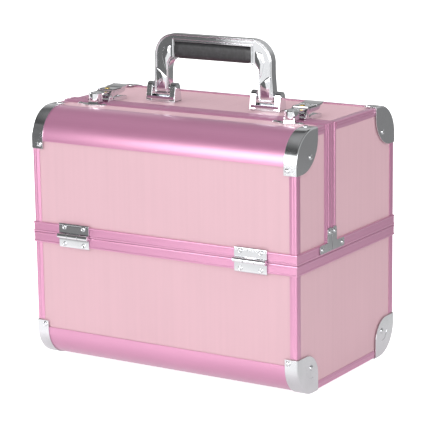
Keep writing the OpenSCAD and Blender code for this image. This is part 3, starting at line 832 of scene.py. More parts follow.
def latch_base_plates():
    """The latch bases on the rear lid: a plate with low sides and two cheeks that hold the lever pin."""
    bm = bmesh.new()
    lid_top = SHELL_TOP
    rim_top = lid_top + PROUD
    front = SPLIT + 0.65 * MM
    rim_end = SPLIT + SPLIT_GAP + SPLIT_RIM_W
    back = high("latch_bases").y
    pin_y, pin_z = LEVER_PIN
    t = 1.2 * MM
    for x in (-LATCH_X, LATCH_X):
        half = 11.2 * MM
        plan = rounded([(x - half, front), (x + half, front), (x + half, back), (x - half, back)],
                       [2 * MM, 2 * MM, 3 * MM, 3 * MM])
        bar(bm, "Z", plan, rim_top, rim_top + t)
        under = rounded([(x - half, rim_end), (x + half, rim_end), (x + half, back), (x - half, back)],
                        [0.5 * MM, 0.5 * MM, 3 * MM, 3 * MM])
        bar(bm, "Z", under, lid_top - RECESS, rim_top)
        for way in (-1, 1):
            outer = x + way * half
            cheek = [(front, rim_top + t)] + arc((pin_y, pin_z), 3.3 * MM, 180, 0, 14) \
                + [(pin_y + 3.5 * MM, rim_top + t)]
            bar(bm, "X", cheek, outer - way * t, outer)
            pin_end = [(0, 0), (1.9 * MM, 0), (1.6 * MM, 0.3 * MM), (0, 0.4 * MM)]
            turned(bm, pin_end, (outer, pin_y, pin_z), (way, 0, 0), 20)
            rail = [(pin_y + 5 * MM, rim_top + t), (pin_y + 6.5 * MM, rim_top + t + 1.3 * MM),
                    (back - 5 * MM, rim_top + t + 1.3 * MM), (back - 3 * MM, rim_top + t)]
            bar(bm, "X", rail, outer - way * t, outer)
        rod(bm, (x - half + t, pin_y, pin_z), (x + half - t, pin_y, pin_z), 1.45 * MM, segments=20)
        for y in (back - 4 * MM, back - 12 * MM):
            turned(bm, dome_profile(1.7 * MM), (x, y, rim_top + t), (0, 0, 1), 20)
    return bm


def latch_lever(side):
    """One lever: flanged deck with cross seams, cross pin and a flared finger tab."""
    bm = bmesh.new()
    lo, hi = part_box(side + "_latch_lever")
    x = (lo.x + hi.x) / 2
    deck_low, deck_high = DECK_LOW, DECK_LOW + DECK_T
    pin_y, pin_z = LEVER_PIN
    hook_y, hook_z = HOOK_PIN
    front, end, tab = hook_y + 2.2 * MM, hi.y - 5 * MM, hi.y
    seam_y = front + 15.5 * MM
    half, t = 9.5 * MM, 1.2 * MM
    # deck in two plates with a seam between them, the rear one rising into the flared tab
    front_plate = [(front, deck_low), (front, deck_high - 0.3 * MM), (front + 0.5 * MM, deck_high),
                   (seam_y - 0.5 * MM, deck_high), (seam_y - 0.2 * MM, deck_high - 0.7 * MM),
                   (seam_y + 0.3 * MM, deck_high - 0.7 * MM), (seam_y + 0.3 * MM, deck_low)]
    bar(bm, "X", front_plate, x - half, x + half)
    rear_plate = [(seam_y + 0.2 * MM, deck_low), (seam_y + 0.2 * MM, deck_high),
                  (seam_y + 0.6 * MM, deck_high + 0.4 * MM), (end - 1 * MM, deck_high + 0.7 * MM),
                  (tab - 0.4 * MM, deck_high + 1.5 * MM), (tab, deck_high + 1.1 * MM),
                  (tab - 0.3 * MM, deck_high + 0.5 * MM), (end, deck_low)]
    bar(bm, "X", rear_plate, x - half - 0.6 * MM, x + half + 0.6 * MM)
    for way in (-1, 1):
        outer = x + way * half
        flange = arc((pin_y, pin_z), 2.2 * MM, 340, 180, 12) \
            + [(pin_y - 2.2 * MM, pin_z + 2 * MM), (front, deck_high - 0.3 * MM),
               (end - 1 * MM, deck_high - 0.3 * MM), (end - 1 * MM, deck_low - 1.5 * MM),
               (end - 4 * MM, deck_low - 4 * MM)]
        bar(bm, "X", flange, outer - way * t, outer)
        step = [(front + 1 * MM, deck_low - 2.4 * MM), (front + 2 * MM, deck_low - 0.8 * MM),
                (end - 3 * MM, deck_low - 0.8 * MM), (end - 4 * MM, deck_low - 2.4 * MM)]
        bar(bm, "X", step, outer - way * 0.2 * MM, outer + way * 0.4 * MM)
    rod(bm, (x - half + t, hook_y, hook_z), (x + half - t, hook_y, hook_z), 1.15 * MM, segments=20)
    return bm


def lock_barrel(side):
    """One brass barrel with a rim and a key slot."""
    bm = bmesh.new()
    lo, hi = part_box(side + "_lock_barrel")
    centre = (lo + hi) / 2
    foot = Vector((centre.x, centre.y, lo.z))
    r, h = 2.8 * MM, hi.z - lo.z
    turned(bm, [(0, 0), (r, 0), (r, h * 0.7), (r - 0.35 * MM, h), (r - 0.8 * MM, h), (r - 1.0 * MM, h * 0.55),
                (0, h * 0.55)], foot, (0, 0, 1), 32)
    block(bm, foot + Vector((-0.35 * MM, -1.5 * MM, h * 0.2)), foot + Vector((0.35 * MM, 1.5 * MM, h * 0.95)))
    return bm


def latch_hook(side):
    """One hook: a strap that ends in a drum-shaped nose with a skirt round the catch."""
    bm = bmesh.new()
    lo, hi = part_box(side + "_latch_hook")
    x = (lo.x + hi.x) / 2
    top = hi.z - 0.4 * MM
    under = top - 1.4 * MM
    nose = 8 * MM
    nose_y = lo.y + nose
    pivot_y, pivot_z = HOOK_PIN
    outline = arc((x, nose_y), nose, 180, 360, 28) + [(x + nose, pivot_y), (x - nose, pivot_y)]
    bar(bm, "Z", outline, under, top)
    # raised round boss over the nose
    boss = [(0, 0), (6.8 * MM, 0), (6.6 * MM, 0.5 * MM), (5.6 * MM, 0.75 * MM), (4.6 * MM, 0.35 * MM),
            (3.9 * MM, 0.35 * MM), (3.2 * MM, 0.7 * MM), (0, 0.85 * MM)]
    turned(bm, boss, (x, nose_y, top), (0, 0, 1), 32)
    # skirt
    skirt_low = lo.z
    outer = arc((x, nose_y), nose, 180, 360, 28)
    inner = arc((x, nose_y), nose - 1.1 * MM, 360, 180, 28)
    bar(bm, "Z", outer + inner, skirt_low, under)
    rod(bm, (x - nose, pivot_y, pivot_z), (x + nose, pivot_y, pivot_z), 2 * MM, segments=24)
    return bm


# ---- handle ----


def bail_outline():
    """Front outline of the bail's right half down to the rail's middle: (x, z) pairs."""
    rail = 8 * MM
    corner = 24 * MM
    width, top = 72 * MM, BAIL_TOP
    foot = PIN_Z - 6 * MM
    leg = 9 * MM
    web, grip_foot = GRIP_HIGH.x, GRIP_LOW.z
    right = [(web, top - rail), (web, grip_foot)]
    # the inner edge steps out from the grip's end and runs down to the foot
    right += [(web + 2.2 * MM, grip_foot - 1.6 * MM), (web + 4.8 * MM, grip_foot - 3.4 * MM),
              (web + 6.6 * MM, grip_foot - 6.5 * MM), (web + 7.6 * MM, grip_foot - 12 * MM)]
    right += arc((BRACKET_X - leg + 3 * MM, foot + 3 * MM), 3 * MM, 180, 270, 4)
    right += arc((BRACKET_X + leg - 3 * MM, foot + 3 * MM), 3 * MM, 270, 360, 4)
    right += [(BRACKET_X + leg, foot + 10 * MM), (width, foot + 30 * MM)]
    right += arc((width - corner, top - corner), corner, 0, 90, 20)
    return right


def handle_bail():
    """The cast bail: a deep outline with a raised rim and ridged, sunk faces, front and rear."""
    bm = bmesh.new()
    right = bail_outline()
    outline = right + [(-x, z) for x, z in reversed(right)]
    bar(bm, "Y", outline, HANDLE_Y - BAIL_HALF, HANDLE_Y + BAIL_HALF)
    bmesh.ops.recalc_face_normals(bm, faces=bm.faces[:])
    faces = sorted(bm.faces, key=lambda f: f.calc_area())[-2:]
    for width, lift in ((1.1 * MM, 0.0), (0.5 * MM, -0.9 * MM), (0.5 * MM, 0.0), (0.5 * MM, 0.5 * MM)):
        bmesh.ops.inset_region(bm, faces=faces, thickness=width, depth=lift, use_even_offset=True)
    return bm


def leg_reliefs():
    """Raised reliefs on both faces of the bail's legs: a drop below the grip and a shield on the foot."""
    bm = bmesh.new()
    face = BAIL_HALF - 0.5 * MM
    drop = rounded([(52 * MM, 334 * MM), (60 * MM, 332 * MM), (63 * MM, 322 * MM), (59 * MM, 308 * MM),
                    (57.5 * MM, 306 * MM), (57 * MM, 314 * MM), (52 * MM, 322 * MM)],
                   [2 * MM, 3 * MM, 5 * MM, 1 * MM, 0.8 * MM, 4 * MM, 2 * MM])
    shield = rounded([(58 * MM, 300 * MM), (66 * MM, 307 * MM), (70.5 * MM, 309 * MM),
                      (70.5 * MM, PIN_Z - 2.5 * MM), (58 * MM, PIN_Z - 2.5 * MM)],
                     [1 * MM, 3 * MM, 1 * MM, 2 * MM, 2 * MM])
    for outline in (drop, shield):
        for way in (-1, 1):
            start = HANDLE_Y + way * face
            known = set(bm.faces)
            bar(bm, "Y", outline, start, start + way * 0.5 * MM)
            made = [f for f in bm.faces if f not in known]
            bmesh.ops.recalc_face_normals(bm, faces=made)
            front = [f for f in made if f.normal.y * way > 0.9]
            bmesh.ops.inset_region(bm, faces=front, thickness=1.0 * MM, depth=0.45 * MM, use_even_offset=True)
    mirrored(bm, "X")
    return bm


def handle_brackets():
    """Two cast U brackets: tapered ears on a foot, with bars across front and rear."""
    bm = bmesh.new()
    foot = low("handle_brackets").z
    top = high("handle_brackets").z
    half_w, half_d, ear, wall = BRACKET_HALF, 7.5 * MM, 6.8 * MM, 1.9 * MM
    boss = [(0, 0), (3.5 * MM, 0), (3.2 * MM, 0.7 * MM), (2.4 * MM, 0.95 * MM), (0, 1.0 * MM)]
    front, rear = HANDLE_Y - half_d, HANDLE_Y + half_d
    for side in (-1, 1):
        x = side * BRACKET_X
        plan = rounded([(x - half_w, front), (x + half_w, front), (x + half_w, rear), (x - half_w, rear)],
                       1.0 * MM, 3)
        bar(bm, "Z", plan, foot, foot + 2 * MM)
        for way in (-1, 1):
            outer = x + way * half_w
            outline = ([(front, foot + 1 * MM), (HANDLE_Y - 4.7 * MM, top - 3.5 * MM)]
                       + arc((HANDLE_Y, top - 4.4 * MM), 4.4 * MM, 165, 15, 12)
                       + [(HANDLE_Y + 4.7 * MM, top - 3.5 * MM), (rear, foot + 1 * MM)])
            bar(bm, "X", outline, outer - way * ear, outer)
            for face, out in ((outer - way * 0.4 * MM, way), (outer - way * (ear - 0.4 * MM), -way)):
                turned(bm, boss, (face, HANDLE_Y, PIN_Z), (out, 0, 0), 24)
        for start in (front, rear - wall):
            block(bm, (x - half_w + 1 * MM, start + 0.35 * MM, foot + 1 * MM),
                  (x + half_w - 1 * MM, start + wall - 0.15 * MM, foot + 6.2 * MM))
    return bm


def handle_grip():
    """The leather grip: a soft oval section that narrows a little into both webs."""
    bm = bmesh.new()
    lo, hi = GRIP_LOW, GRIP_HIGH
    middle = (lo + hi) / 2
    half_y, half_z = (hi.y - lo.y) / 2, (hi.z - lo.z) / 2
    power = 2.0 / 3.4
    section = []
    for k in range(40):
        a = math.tau * k / 40
        c, s = math.cos(a), math.sin(a)
        section.append((middle.y + math.copysign(abs(c) ** power, c) * half_y,
                        middle.z + math.copysign(abs(s) ** power, s) * half_z))
    steps = 16
    verts = [bm.verts.new((lo.x, y, z)) for y, z in section]
    face = bm.faces.new(verts)
    geom = [face]
    for k in range(1, steps + 1):
        made = bmesh.ops.extrude_face_region(bm, geom=geom)["geom"]
        new = [v for v in made if isinstance(v, bmesh.types.BMVert)]
        bmesh.ops.translate(bm, verts=new, vec=((hi.x - lo.x) / steps, 0, 0))
        geom = [f for f in made if isinstance(f, bmesh.types.BMFace)]
    for v in bm.verts:
        t = abs(v.co.x) / hi.x
        swell = 1.0 - 0.10 * max(0.0, (t - 0.86) / 0.14) ** 2
        v.co.y = middle.y + (v.co.y - middle.y) * swell
        v.co.z = middle.z + (v.co.z - middle.z) * swell
    return bm


def grip_stitches():
    """The sewn closing seam under the grip: small slanted stitches."""
    bm = bmesh.new()
    z = GRIP_LOW.z + 0.1 * MM
    count = 26
    for k in range(count):
        x = GRIP_LOW.x + 6 * MM + (GRIP_HIGH.x - GRIP_LOW.x - 12 * MM) * k / (count - 1)
        start, end = (x - 1.0 * MM, HANDLE_Y - 0.35 * MM, z), (x + 1.0 * MM, HANDLE_Y + 0.35 * MM, z)
        rod(bm, start, end, 0.28 * MM, segments=8)
    return bm


# ---- trays and feet ----


def open_tray(node, wall):
    """A flocked tray with two compartments."""
    bm = bmesh.new()
    lo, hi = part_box(node)
    half = TRAY_HALF
    block(bm, (-half, lo.y, lo.z), (half, hi.y, hi.z))
    bm.faces.ensure_lookup_table()
    bmesh.ops.bisect_plane(bm, geom=bm.verts[:] + bm.edges[:] + bm.faces[:], plane_co=(0, 0, 0),
                           plane_no=(1, 0, 0))
    tops = [f for f in bm.faces if f.normal.z > 0.9]
    inset = bmesh.ops.inset_individual(bm, faces=tops, thickness=wall, depth=0, use_even_offset=True)
    tops = [f for f in bm.faces if f.normal.z > 0.9 and f not in inset["faces"]]
    made = bmesh.ops.extrude_face_region(bm, geom=tops)["geom"]
    new = [v for v in made if isinstance(v, bmesh.types.BMVert)]
    bmesh.ops.translate(bm, verts=new, vec=(0, 0, wall - (hi.z - lo.z)))
    bmesh.ops.delete(bm, geom=tops, context="FACES_KEEP_BOUNDARY")
    return bm


def tray_edging(node, wall):
    """A folded steel strip over a tray's upper edge, and the studs that the arms hold."""
    bm = bmesh.new()
    lo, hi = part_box(node)
    half = TRAY_HALF
    out, depth = 0.25 * MM, 4 * MM
    for y1, y2 in ((lo.y - out, lo.y + wall + out), (hi.y - wall - out, hi.y + out)):
        block(bm, (-half - out, y1, hi.z - depth), (half + out, y2, hi.z + out))
    for x in (-half, half - wall):
        block(bm, (x - out, lo.y + wall, hi.z - depth), (x + wall + out, hi.y - wall, hi.z + out))
    share = 0.5 if "lower" in node else 1.0  # how far along the arms the tray hangs
    way = -1 if "front" in node else 1
    stud = [(0, 0), (3.2 * MM, 0), (3.2 * MM, 0.35 * MM), (1.95 * MM, 0.35 * MM), (1.95 * MM, 1.8 * MM),
            (1.6 * MM, 2.1 * MM), (0, 2.1 * MM)]
    for inwards, up in ARM_PIVOTS:
        y = way * (HINGE_Y - inwards - share * ARM_REACH[0])
        for side in (-1, 1):
            turned(bm, stud, (side * half, y, SEAM + up + share * ARM_REACH[1]), (side, 0, 0), 24)
    return bm


def rubber_feet():
    """Four moulded feet with a ribbed wearing ring."""
    bm = bmesh.new()
    lo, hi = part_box("base_feet")
    r, h = FOOT_R, hi.z
    for x in (lo.x + r, hi.x - r):
        for y in (lo.y + r, hi.y - r):
            sole = [(0, 0.5 * MM), (r * 0.55, 0.5 * MM), (r * 0.62, 0), (r * 0.88, 0), (r * 0.94, 0.3 * MM),
                    (r * 0.97, 1.0 * MM), (r, 1.6 * MM), (r, h), (0, h)]
            turned(bm, sole, (x, y, 0), (0, 0, 1), 36)
    return bm


# ---- operators ----


class PieceOperator(bpy.types.Operator):
    """Shared by the operators of the case."""

    bl_options = {"REGISTER", "UNDO"}

    def execute(self, context):
        if not FINISHES:
            raise RuntimeError("The finishes are made first")
        self.build(context.scene.case_sizes)
        return {"FINISHED"}


def rail_piece(name, bm, finish, body, nodes, soft_edge, crease=38):
    """A piece of the anodised frame."""
    return finish_piece(name, bm, finish, body, nodes, soft_edge, crease)


class CASE_OT_finishes(bpy.types.Operator):
    """Make every finish and give the panels, lining and linkage theirs"""

    bl_idname = "train_case.finishes"
    bl_label = "Finishes"

    def execute(self, context):
        make_finishes(context.scene.case_colours, context.scene.case_sizes)
        lids = ("front_lid", "rear_lid")
        paint_nodes("panel_across_x", "base_front_panel", "base_rear_panel", "base_bottom_panel",
                    "front_lid_front_panel", "rear_lid_rear_panel", *[lid + "_top_panel" for lid in lids])
        paint_nodes("panel_across_y", "base_side_panels", *[lid + "_side_panels" for lid in lids])
        paint_nodes("lining", "base_lining", *[lid + "_lining" for lid in lids])
        paint_nodes("zinc", "tray_pivot_plates", "front_arms_a", "front_arms_b", "rear_arms_a",
                    "rear_arms_b", *[lid + "_drive_studs" for lid in lids])
        paint_nodes("chrome", "handle_pins")
        return {"FINISHED"}


class CASE_OT_edge_profiles(PieceOperator):
    """Build the long rounded edge extrusions"""

    bl_idname = "train_case.edge_profiles"
    bl_label = "Edge extrusions"

    def build(self, sizes):
        soft = sizes.soft_edge
        base = edge_profile()
        mirrored(base, "Y")
        rail_piece("base_edge_extrusions", base, "rail_along_x", "base", ["base_edge_profiles"], soft, 50)
        for lid, way, _, _ in LIDS:
            rail_piece(lid + "_edge_extrusion", moved(edge_profile(), way @ UPSIDE_DOWN), "rail_along_x",
                       lid, [lid + "_edge_profile"], soft, 50)


class CASE_OT_trims(PieceOperator):
    """Build the corner posts and the trims along the side edges"""

    bl_idname = "train_case.trims"
    bl_label = "Posts and trims"

    def build(self, sizes):
        soft = sizes.soft_edge * 0.6
        posts = bmesh.new()
        corner_post(posts, SHELL_LOW + CAP_H, SEAM - RIM_H)
        mirrored(posts, "X", "Y")
        rail_piece("base_posts", posts, "rail_along_z", "base", ["base_edge_trims"], soft)
        trims = bmesh.new()
        side_trim(trims, -HALF_D + CAP_H, HALF_D - CAP_H)
        mirrored(trims, "X")
        rail_piece("base_side_trims", trims, "rail_along_y", "base", (), soft)
        for lid, way, _, split in LIDS:
            posts = bmesh.new()
            corner_post(posts, SEAM + RIM_H, SHELL_TOP - CAP_H)
            mirrored(posts, "X")
            rail_piece(lid + "_posts", moved(posts, way), "rail_along_z", lid, [lid + "_edge_trims"], soft)
            trims = bmesh.new()
            side_trim(trims, -HALF_D + CAP_H, split - SPLIT_GAP - SPLIT_RIM_W, top=True)
            mirrored(trims, "X")
            rail_piece(lid + "_side_trims", moved(trims, way), "rail_along_y", lid, (), soft)


class CASE_OT_rims(PieceOperator):
    """Build the grooved rims at the seam"""

    bl_idname = "train_case.rims"
    bl_label = "Seam rims"

    def build(self, sizes):
        soft = sizes.soft_edge * 0.7
        rail_piece("base_rim_channel", rim_ring(None), "rim_round", "base", ["base_rim"], soft)
        for lid, way, _, split in LIDS:
            rail_piece(lid + "_rim_channel", moved(rim_ring(split - SPLIT_GAP), way @ OVER_SEAM),
                       "rim_round", lid, [lid + "_rim"], soft)


class CASE_OT_arches(PieceOperator):
    """Build the ridged rims along the split"""

    bl_idname = "train_case.arches"
    bl_label = "Split rims"

    def build(self, sizes):
        for lid, _, over_split, _ in LIDS:
            rail_piece(lid + "_arch", moved(split_arch(), over_split), "rim_arch", lid,
                       [lid + "_split_rim"], sizes.soft_edge * 0.7)


class CASE_OT_caps(PieceOperator):
    """Build the pressed steel corner caps"""

    bl_idname = "train_case.caps"
    bl_label = "Corner caps"

    def build(self, sizes):
        base = corner_cap(sizes.cap_fold, 24 * MM, CAP_H - 1 * MM, True)
        mirrored(base, "X", "Y")
        finish_piece("base_caps", base, "cap_steel", "base", ["base_corner_caps"], 0.2 * MM, 50)
        for lid, way, _, _ in LIDS:
            cap = corner_cap(sizes.cap_fold, 33 * MM, CAP_H, False)
            mirrored(cap, "X")
            finish_piece(lid + "_caps", moved(cap, way @ UPSIDE_DOWN), "cap_steel", lid,
                         [lid + "_corner_caps"], 0.2 * MM, 50)


class CASE_OT_rivets(PieceOperator):
    """Build the rivets of the caps, hinges and brackets"""

    bl_idname = "train_case.rivets"
    bl_label = "Rivets"

    def build(self, sizes):
        radius, above_seam = sizes.rivet_radius, 9 * MM
        base = bmesh.new()
        hinge_rivets(base, radius, -above_seam)
        cap_rivets(base, radius)
        mirrored(base, "Y")
        finish_piece("base_rivet_heads", base, "chrome", "base", ["base_rivets"], crease=40)
        for lid, way, over_split, _ in LIDS:
            heads = bmesh.new()
            cap_rivets(heads, radius)
            moved(heads, UPSIDE_DOWN)
            hinge_rivets(heads, radius, above_seam)
            brackets = bmesh.new()
            bracket_rivets(brackets, radius)
            finish_piece(lid + "_rivet_heads", moved(heads, way), "chrome", lid, [lid + "_rivets"],
                         crease=40)
            finish_piece(lid + "_bracket_rivets", moved(brackets, over_split), "chrome", lid, crease=40)


class CASE_OT_hinges(PieceOperator):
    """Build the hinge leaves and pins"""

    bl_idname = "train_case.hinges"
    bl_label = "Hinges"

    def build(self, sizes):
        soft = 0.18 * MM
        base = front_leaves(False)
        mirrored(base, "Y")
        finish_piece("base_leaves", base, "chrome", "base", ["base_hinge_leaves"], soft, 45)
        finish_piece("hinge_pin_rods", hinge_pin_set(), "chrome", "base", ["hinge_pins"], crease=45)
        for lid, way, _, _ in LIDS:
            finish_piece(lid + "_leaves", moved(front_leaves(True), way @ OVER_SEAM), "chrome", lid,
                         [lid + "_hinge_leaves"], soft, 45)


class CASE_OT_split_brackets(PieceOperator):
    """Build the L brackets at the feet of the split rims"""

    bl_idname = "train_case.split_brackets"
    bl_label = "Split brackets"

    def build(self, sizes):
        for lid, _, over_split, _ in LIDS:
            finish_piece(lid + "_brackets", moved(split_bracket(), over_split), "bracket_steel", lid,
                         [lid + "_split_brackets"], 0.25 * MM)


class CASE_OT_latches(PieceOperator):
    """Build the catch plates, latch bases, levers, hooks and lock barrels"""

    bl_idname = "train_case.latches"
    bl_label = "Latches"

    def build(self, sizes):
        finish_piece("catch_plates", strike_plates(), "chrome", "front_lid", ["latch_strikes"],
                     0.25 * MM, 45)
        finish_piece("latch_base_plates", latch_base_plates(), "chrome", "rear_lid", ["latch_bases"],
                     0.2 * MM, 45)
        for side in ("left", "right"):
            lever, hook = side + "_latch_lever", side + "_latch_hook"
            finish_piece(side + "_lever", latch_lever(side), "chrome", lever, [lever],
                         0.22 * MM, 40)
            finish_piece(side + "_barrel", lock_barrel(side), "brass", lever, [side + "_lock_barrel"],
                         crease=40)
            finish_piece(side + "_hook", latch_hook(side), "chrome", hook, [hook],
                         0.35 * MM, 45)


class CASE_OT_handle(PieceOperator):
    """Build the handle's bail, brackets and leather grip"""

    bl_idname = "train_case.handle"
    bl_label = "Handle"

    def build(self, sizes):
        finish_piece("bail_casting", handle_bail(), "chrome", "handle", ["handle_bail"],
                     0.35 * MM, 30, 3)
        finish_piece("bail_reliefs", leg_reliefs(), "chrome", "handle", (), 0.3 * MM, 25, 3)
        finish_piece("bracket_castings", handle_brackets(), "chrome", "rear_lid", ["handle_brackets"],
                     0.35 * MM, 40)
        finish_piece("grip_cover", handle_grip(), "leather", "handle", ["handle_grip"],
                     0.5 * MM, 60)
        finish_piece("grip_seam", grip_stitches(), "leather", "handle", (), crease=60)


class CASE_OT_trays(PieceOperator):
    """Build the four flocked trays with their steel edging"""

    bl_idname = "train_case.trays"
    bl_label = "Trays"

    def build(self, sizes):
        for tray in ("front_lower", "front_upper", "rear_lower", "rear_upper"):
            node = tray + "_tray"
            paint_nodes("zinc", node)
            finish_piece(tray + "_box", open_tray(node, sizes.tray_wall), "flock", node, [node],
                         0.3 * MM)
            finish_piece(tray + "_edging", tray_edging(node, sizes.tray_wall), "zinc", node, (),
                         0.2 * MM)


class CASE_OT_feet(PieceOperator):
    """Build the rubber feet"""

    bl_idname = "train_case.feet"
    bl_label = "Feet"

    def build(self, sizes):
        finish_piece("moulded_feet", rubber_feet(), "rubber", "base", ["base_feet"],
                     crease=40)


# ---- stage ----

FLOOR_HALF = 6
AHEAD = (-0.53, -0.85, 0)  # level direction in which the camera stands


def stage_card(name, bm, finish):
    """An object of the stage from a built mesh."""
    mesh = bpy.data.meshes.new(name)
    bm.to_mesh(mesh)
    bm.free()
    mesh.materials.append(finish)
    card = bpy.data.objects.new(name, mesh)
    bpy.context.scene.collection.objects.link(card)
    return card


def only_reflected(card):
    """Leaves a card visible in reflections only."""
    card.visible_camera = card.visible_diffuse = card.visible_shadow = False
    return card


def flat_grid(height=0.0):
    """A level square as large as the floor."""
    bm = bmesh.new()
    bmesh.ops.create_grid(bm, x_segments=2, y_segments=2, size=FLOOR_HALF)
    return moved(bm, Matrix.Translation((0, 0, height)))


def soft_light(name, place_at, size, power):
    """A square area light aimed at the case and not seen in bright metal."""
    data = bpy.data.lights.new(name, "AREA")
    data.shape = "RECTANGLE"
    data.size, data.size_y = size
    data.energy = power
    light = bpy.data.objects.new(name, data)
    bpy.context.scene.collection.objects.link(light)
    light.location = place_at
    light.rotation_euler = (Vector((0, 0, 0.15)) - Vector(place_at)).to_track_quat("-Z", "Y").to_euler()
    light.visible_glossy = False


def grey_ramp(tree, value, stops):
    """Greys, also above white, along a value from 0 to 1."""
    brightest = 6.0
    ramp = add_node(tree, "ValToRGB", {"Fac": value})
    for i, (position, grey) in enumerate(stops):
        stop = ramp.color_ramp.elements[i] if i < 2 else ramp.color_ramp.elements.new(position)
        stop.position = position
        stop.color = (grey / brightest,) * 3 + (1,)
    return add_node(tree, "VectorMath", {0: ramp.outputs["Color"], 3: brightest},
                    operation="SCALE").outputs[0]


def white_floor():
    """The pale floor."""
    finish, tree, shader = new_finish("studio_floor", (0.85, 0.85, 0.85), 0.0, 0.7)
    greys = blend(tree, noise(tree, place(tree), 3, 2), (0.83, 0.83, 0.83), (0.87, 0.87, 0.87))
    tree.links.new(greys, shader.inputs["Base Color"])
    shader.inputs["Emission Color"].default_value = (1, 1, 1, 1)
    seen = add_node(tree, "LightPath").outputs["Is Camera Ray"]
    tree.links.new(spread(tree, seen, 0.0, 0.85), shader.inputs["Emission Strength"])
    return stage_card("floor", flat_grid(), finish)


def reflected_floor():
    """A card just over the floor that only bright metal reflects: pale, with greys behind and at the left.
    Right beside the case it is darker and pinker: painted floor shade and painted pink light bounced from the
    case.
    """
    finish, tree, shader = new_finish("reflected_greys", (0, 0, 0), 0.0, 1.0, IOR=1.0)
    axes = add_node(tree, "SeparateXYZ", {0: place(tree)})
    x, y = axes.outputs["X"], axes.outputs["Y"]

    def math_node(a, b, way="ADD"):
        return add_node(tree, "Math", {0: a, 1: b}, operation=way).outputs[0]

    from_side = math_node(add_node(tree, "Math", {0: x}, operation="ABSOLUTE").outputs[0], HALF_W, "SUBTRACT")
    from_face = math_node(add_node(tree, "Math", {0: y}, operation="ABSOLUTE").outputs[0], HALF_D, "SUBTRACT")
    away = math_node(from_side, from_face, "MAXIMUM")
    # the first stop, darker right beside the case, is painted floor shade
    before = grey_ramp(tree, away, ((0.0, 0.80), (0.04, 1.20), (0.10, 1.15), (0.33, 0.96), (0.75, 1.04)))
    behind = grey_ramp(tree, away, ((0.0, 0.70), (0.05, 0.72), (0.13, 0.66), (0.45, 0.42), (0.85, 0.25)))
    ahead = math_node(math_node(x, AHEAD[0], "MULTIPLY"), math_node(y, AHEAD[1], "MULTIPLY"))
    shine = blend(tree, spread(tree, ahead, 0, 1, -0.05, 0.12), behind, before)
    edge = math_node(math_node(y, 0.78, "MULTIPLY"), 0.161)
    left = spread(tree, math_node(x, edge, "SUBTRACT"), 1, 0, -0.05, 0.05)
    left = math_node(left, spread(tree, y, 1, 0, -0.55, -0.42), "MULTIPLY")
    shine = blend(tree, left, shine, (0.25, 0.25, 0.25))
    # painted pink light bounced from the case onto the floor, fading out within 10 cm of it
    painted_case_bounce = blend(tree, spread(tree, away, 0, 1, 0.0, 0.10), (1.0, 0.95, 0.98), (1, 1, 1))
    shine = add_node(tree, "VectorMath", {0: shine, 1: painted_case_bounce}, operation="MULTIPLY").outputs[0]
    tree.links.new(shine, shader.inputs["Emission Color"])
    shader.inputs["Emission Strength"].default_value = 1.0
    return only_reflected(stage_card("reflected_floor", flat_grid(0.2 * MM), finish))


def left_card():
    """A standing grey card at the front left, seen in bright metal only."""
    bm = bmesh.new()
    foot = [bm.verts.new((-0.46, -0.775, 0)), bm.verts.new((-1.31, -0.245, 0))]
    made = bmesh.ops.extrude_edge_only(bm, edges=[bm.edges.new(foot)])["geom"]
    bmesh.ops.translate(bm, verts=[v for v in made if isinstance(v, bmesh.types.BMVert)], vec=(0, 0, 0.75))
    finish, tree, shader = new_finish("card_grey", (0, 0, 0), 0.0, 1.0, IOR=1.0)
    tree.links.new(spread(tree, noise(tree, place(tree), 4, 1), 0.10, 0.24),
                   shader.inputs["Emission Strength"])
    shader.inputs["Emission Color"].default_value = (1, 1, 1, 1)
    return only_reflected(stage_card("left_card", bm, finish))


def studio_room(scene):
    """A white room. Bright metal sees a light band low in front and a dark ceiling in it."""
    world = bpy.data.worlds.new("studio")
    scene.world = world
    world.use_nodes = True
    tree = world.node_tree
    background = tree.nodes["Background"]
    direction = add_node(tree, "TexCoord").outputs["Generated"]
    height = add_node(tree, "SeparateXYZ", {0: direction}).outputs["Z"]
    ahead = add_node(tree, "VectorMath", {0: direction, 1: AHEAD}, operation="DOT_PRODUCT").outputs["Value"]
    before = grey_ramp(tree, height, ((0.0, 5.4), (0.22, 5.4), (0.40, 0.07), (0.66, 0.08), (0.80, 0.20),
                                      (0.88, 0.34), (1.0, 0.34)))
    behind = grey_ramp(tree, height, ((0.0, 0.28), (0.22, 0.32), (0.40, 0.55), (0.62, 0.55), (0.70, 0.02),
                                      (0.78, 0.02), (0.82, 0.20), (1.0, 0.34)))
    reflected = blend(tree, spread(tree, ahead, 0, 1, -0.35, 0.25), behind, before)
    soft = add_node(tree, "Math", {0: spread(tree, ahead, 0.92, 1.48, -0.9, 0.9),
                                   1: spread(tree, height, 1.0, 0.70)}, operation="MULTIPLY").outputs[0]
    soft = add_node(tree, "CombineColor", {0: soft, 1: soft, 2: soft}).outputs[0]
    path = add_node(tree, "LightPath")
    room = blend(tree, path.outputs["Is Glossy Ray"], soft, reflected)
    tree.links.new(blend(tree, path.outputs["Is Camera Ray"], room, (1, 1, 1)), background.inputs["Color"])
    background.inputs["Strength"].default_value = 1.0


def front_camera(scene):
    """The camera, in front and to the right of the case and a little above it."""
    data = bpy.data.cameras.new("camera")
    data.lens = 170.17
    data.sensor_width = 36
    data.clip_end = 50
    camera = bpy.data.objects.new("camera", data)
    scene.collection.objects.link(camera)
    yaw, pitch, roll = math.radians(32.077), math.radians(12.817), math.radians(-0.8027)
    ahead = Vector((-math.sin(yaw) * math.cos(pitch), math.cos(yaw) * math.cos(pitch), -math.sin(pitch)))
    level = Vector((math.cos(yaw), math.sin(yaw), 0))
    upward = level.cross(ahead)
    right = math.cos(roll) * level + math.sin(roll) * upward
    top = -math.sin(roll) * level + math.cos(roll) * upward
    turn = Matrix((right, top, -ahead)).transposed().to_4x4()
    camera.matrix_world = Matrix.Translation((1.12112, -1.78762, 0.63486)) @ turn
    scene.camera = camera


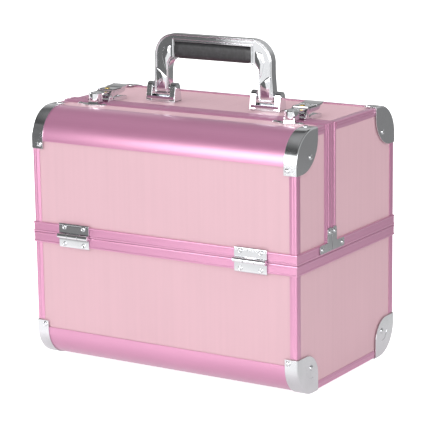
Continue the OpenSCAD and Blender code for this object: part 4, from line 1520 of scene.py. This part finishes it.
class CASE_OT_stage(bpy.types.Operator):
    """Set up the floor, the studio light and the camera"""

    bl_idname = "train_case.stage"
    bl_label = "Stage"

    def execute(self, context):
        scene = context.scene
        scene.view_settings.view_transform = "Standard"
        white_floor()
        reflected_floor()
        left_card()
        studio_room(scene)
        soft_light("key_panel", (-1.5, -2.3, 1.0), (2.4, 1.8), 7)
        soft_light("top_panel", (0.0, 0.0, 2.2), (2.0, 2.0), 8)
        front_camera(scene)
        return {"FINISHED"}


# ---- add-on ----

BUILDERS = (CASE_OT_finishes, CASE_OT_edge_profiles, CASE_OT_trims, CASE_OT_rims, CASE_OT_arches,
            CASE_OT_caps, CASE_OT_rivets, CASE_OT_hinges, CASE_OT_split_brackets, CASE_OT_latches,
            CASE_OT_handle, CASE_OT_trays, CASE_OT_feet, CASE_OT_stage)


class CASE_PT_panel(bpy.types.Panel):
    """Lists the steps that build the case"""

    bl_idname = "CASE_PT_panel"
    bl_label = "Train Case"
    bl_space_type = "VIEW_3D"
    bl_region_type = "UI"
    bl_category = "Train Case"

    def draw(self, context):
        layout = self.layout
        for group in (context.scene.case_sizes, context.scene.case_colours):
            for name in group.__annotations__:
                layout.prop(group, name)
        for builder in BUILDERS:
            layout.operator(builder.bl_idname)


CLASSES = (CaseColours, CaseSizes, *BUILDERS, CASE_PT_panel)


def register():
    for cls in CLASSES:
        bpy.utils.register_class(cls)
    bpy.types.Scene.case_colours = bpy.props.PointerProperty(type=CaseColours)
    bpy.types.Scene.case_sizes = bpy.props.PointerProperty(type=CaseSizes)


def unregister():
    del bpy.types.Scene.case_sizes
    del bpy.types.Scene.case_colours
    for cls in reversed(CLASSES):
        bpy.utils.unregister_class(cls)


def main():
    register()
    case = bpy.ops.train_case
    case.finishes()
    case.edge_profiles()
    case.trims()
    case.rims()
    case.arches()
    case.caps()
    case.rivets()
    case.hinges()
    case.split_brackets()
    case.latches()
    case.handle()
    case.trays()
    case.feet()
    case.stage()


if __name__ == "__main__":
    main()
